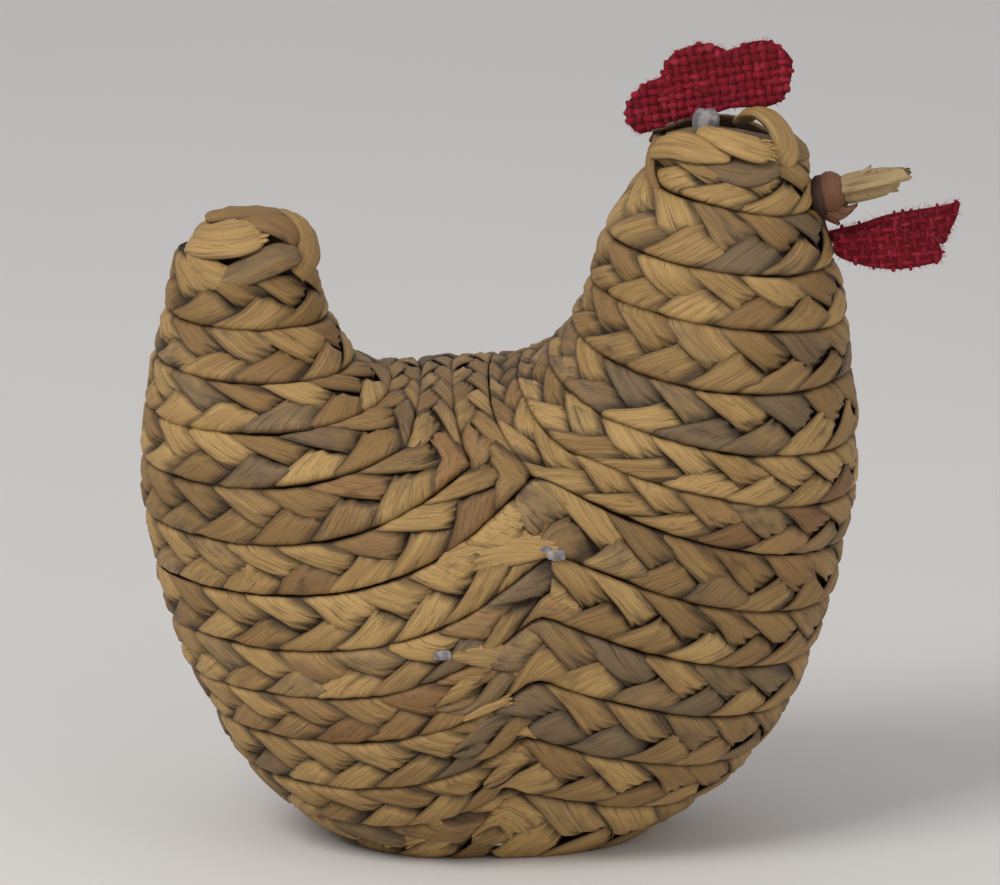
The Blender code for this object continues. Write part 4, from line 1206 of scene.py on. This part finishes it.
class HEN_OT_joints(bpy.types.Operator):
    """Lays the loose leaf ends over the front joints, with their glue"""

    bl_idname = "hen.joints"
    bl_label = "Finish the joints"

    def execute(self, context):
        hen = settings()
        skin = front_skin()
        grids, tones = [], {}
        for i, (points, first, last, tone) in enumerate(JOINT_ENDS):
            path = laid_path(points, (first, last), skin)
            tones[len(grids)] = tone
            grids.append(strip_grid(path, JOINT_CENTRE, 401 + i, 0.45 * MM, 0.2, 1.2))
            for j, sliver in enumerate(frayed(path, JOINT_CENTRE, 0.9, 1.6, 3, 421 + i)):
                tones[len(grids)] = (tone[0] + 0.6, tone[1], tone[2])
                grids.append(strip_grid(sliver, JOINT_CENTRE, 441 + 9 * i + j, 0.18 * MM, 0.1))
        dress(strips("joint_ends", grids, tones), "plait", material=leaf_finish())
        glue = glue_material("set_glue", hen.glue, rgb(164, 156, 154))
        spots = [blob_grid(spot, 3 * i) for i, spot in enumerate(GLUE_SPOTS)]
        dress(strips("comb_glue_blob", spots), "glue", "comb_glue", material=glue)
        spots = []
        for i, (x, z, across, deep, high) in enumerate(SEAM_GLUE):
            place = laid_path([(x, z, 1.0)], (0.6, 0.6), skin)[0]
            spots.append(blob_grid((*place[:3], across, deep, high), 11 + 5 * i))
        dress(strips("joint_glue", spots), "glue", material=glue)
        return {"FINISHED"}


class HEN_OT_cloth(bpy.types.Operator):
    """Weaves the comb and the two wattle leaves"""

    bl_idname = "hen.cloth"
    bl_label = "Weave the cloth"

    def execute(self, context):
        hen = settings()
        cloth = cloth_material("red_jute", hen.cloth_deep, hen.cloth, hen.cloth_pale)
        # The backing sheet's dark red is painted shade, seen in the gaps between the threads.
        deep = cloth_material("weave_gap_shade", rgb(84, 4, 16), rgb(112, 10, 28), rgb(140, 30, 50))
        root = neck(WATTLE_LINE, pi)[[0, 2]] + (LEAF_SEAT, 0)
        for seed, (name, cut) in enumerate(CLOTHS.items(), 201):
            edge = edge_curve(cut["edge"], root if cut["held"] == "hung" else (0.0, 0.0))
            wave = rippled(cut["y"], cut["ripple"])
            base = cloth_base(name + "_cloth", edge, wave)
            dress(base, "red_cloth", name, material=deep)
            radius = hen.thread_radius * cut["share"]
            threads = strips(name + "_threads", thread_grids(edge, wave, cut, radius, seed))
            dress(threads, "red_cloth", material=cloth)
            fuzz = strips(name + "_fuzz", fuzz_grids(edge, wave, cut["fibres"], seed))
            dress(fuzz, "red_cloth", material=cloth)
        return {"FINISHED"}


class HEN_OT_form(bpy.types.Operator):
    """Gives the padded form a dark brown paper colour: painted shade where it shows between the plaits"""

    bl_idname = "hen.form"
    bl_label = "Finish the form"

    def execute(self, context):
        material, tree = new_material("form_gap_shade")
        place = tree.node("ShaderNodeTexCoord", None, None, 3)
        colour = place.noise(180.0, 4.0).between(rgb(52, 36, 22), rgb(78, 56, 36))
        surface(tree, **{"Base Color": colour, "Roughness": 0.9})
        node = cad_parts["padded_form"]
        node.material_slots[0].material = material
        return {"FINISHED"}


class HEN_OT_stage(bpy.types.Operator):
    """Sets up the floor, the light and the camera"""

    bl_idname = "hen.stage"
    bl_label = "Set the stage"

    def execute(self, context):
        material, tree = new_material("floor_paint")
        place = tree.node("ShaderNodeTexCoord", None, None, 3)
        colour = place.noise(3.0, 2.0).between(rgb(214, 211, 206), rgb(222, 219, 214))
        surface(tree, **{"Base Color": colour, "Roughness": 0.85, "Specular IOR Level": 0.2})
        corners = np.array([[-1, -1, 0], [1, -1, 0], [1, 1, 0], [-1, 1, 0]], float)
        floor = solid("floor", FLOOR_REACH * corners, [(0, 1, 2, 3)])
        floor.data.materials.append(material)
        scene = context.scene
        scene.world = bpy.data.worlds.new("studio")
        scene.world.use_nodes = True
        for key, value in SKY.items():
            scene.world.node_tree.nodes["Background"].inputs[key].default_value = value
        for name, place, power, wide in LAMPS:
            light = bpy.data.lights.new(name, "AREA")
            light.energy = power
            light.size = wide
            placed(bpy.data.objects.new(name, light), place, LAMP_AIM)
        distance = settings().camera_distance
        view = bpy.data.cameras.new("camera")
        view.sensor_width = SENSOR
        view.lens = SENSOR * distance / VIEW_WIDTH
        view.clip_end = 20
        scene.camera = bpy.data.objects.new("camera", view)
        aim = Vector(CAMERA_AIM) * MM
        placed(scene.camera, aim + distance * Vector((0, -cos(CAMERA_RISE), sin(CAMERA_RISE))), aim)
        scene.view_settings.view_transform = "Standard"
        return {"FINISHED"}


class HEN_PT_panel(bpy.types.Panel):
    """Lists the steps that finish the hen"""

    bl_label = "Plaited Leaf Hen"
    bl_idname = "HEN_PT_panel"
    bl_space_type = "VIEW_3D"
    bl_region_type = "UI"
    bl_category = "Hen"

    def draw(self, context):
        for key in HenSettings.__annotations__:
            self.layout.prop(context.scene.hen, key)
        for step in STEPS:
            self.layout.operator(step.bl_idname)


STEPS = (HEN_OT_plaits, HEN_OT_tips, HEN_OT_beak, HEN_OT_joints, HEN_OT_cloth, HEN_OT_form, HEN_OT_stage)
CLASSES = (HenSettings, *STEPS, HEN_PT_panel)


def register():
    """Makes the classes and the scene's settings known."""
    for each in CLASSES:
        bpy.utils.register_class(each)
    bpy.types.Scene.hen = bpy.props.PointerProperty(type=HenSettings)


def unregister():
    """Takes them away again."""
    del bpy.types.Scene.hen
    for each in reversed(CLASSES):
        bpy.utils.unregister_class(each)


def main():
    """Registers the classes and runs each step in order."""
    register()
    for step in STEPS:
        getattr(bpy.ops.hen, step.bl_idname.split(".")[1])()


if __name__ == "__main__":
    main()
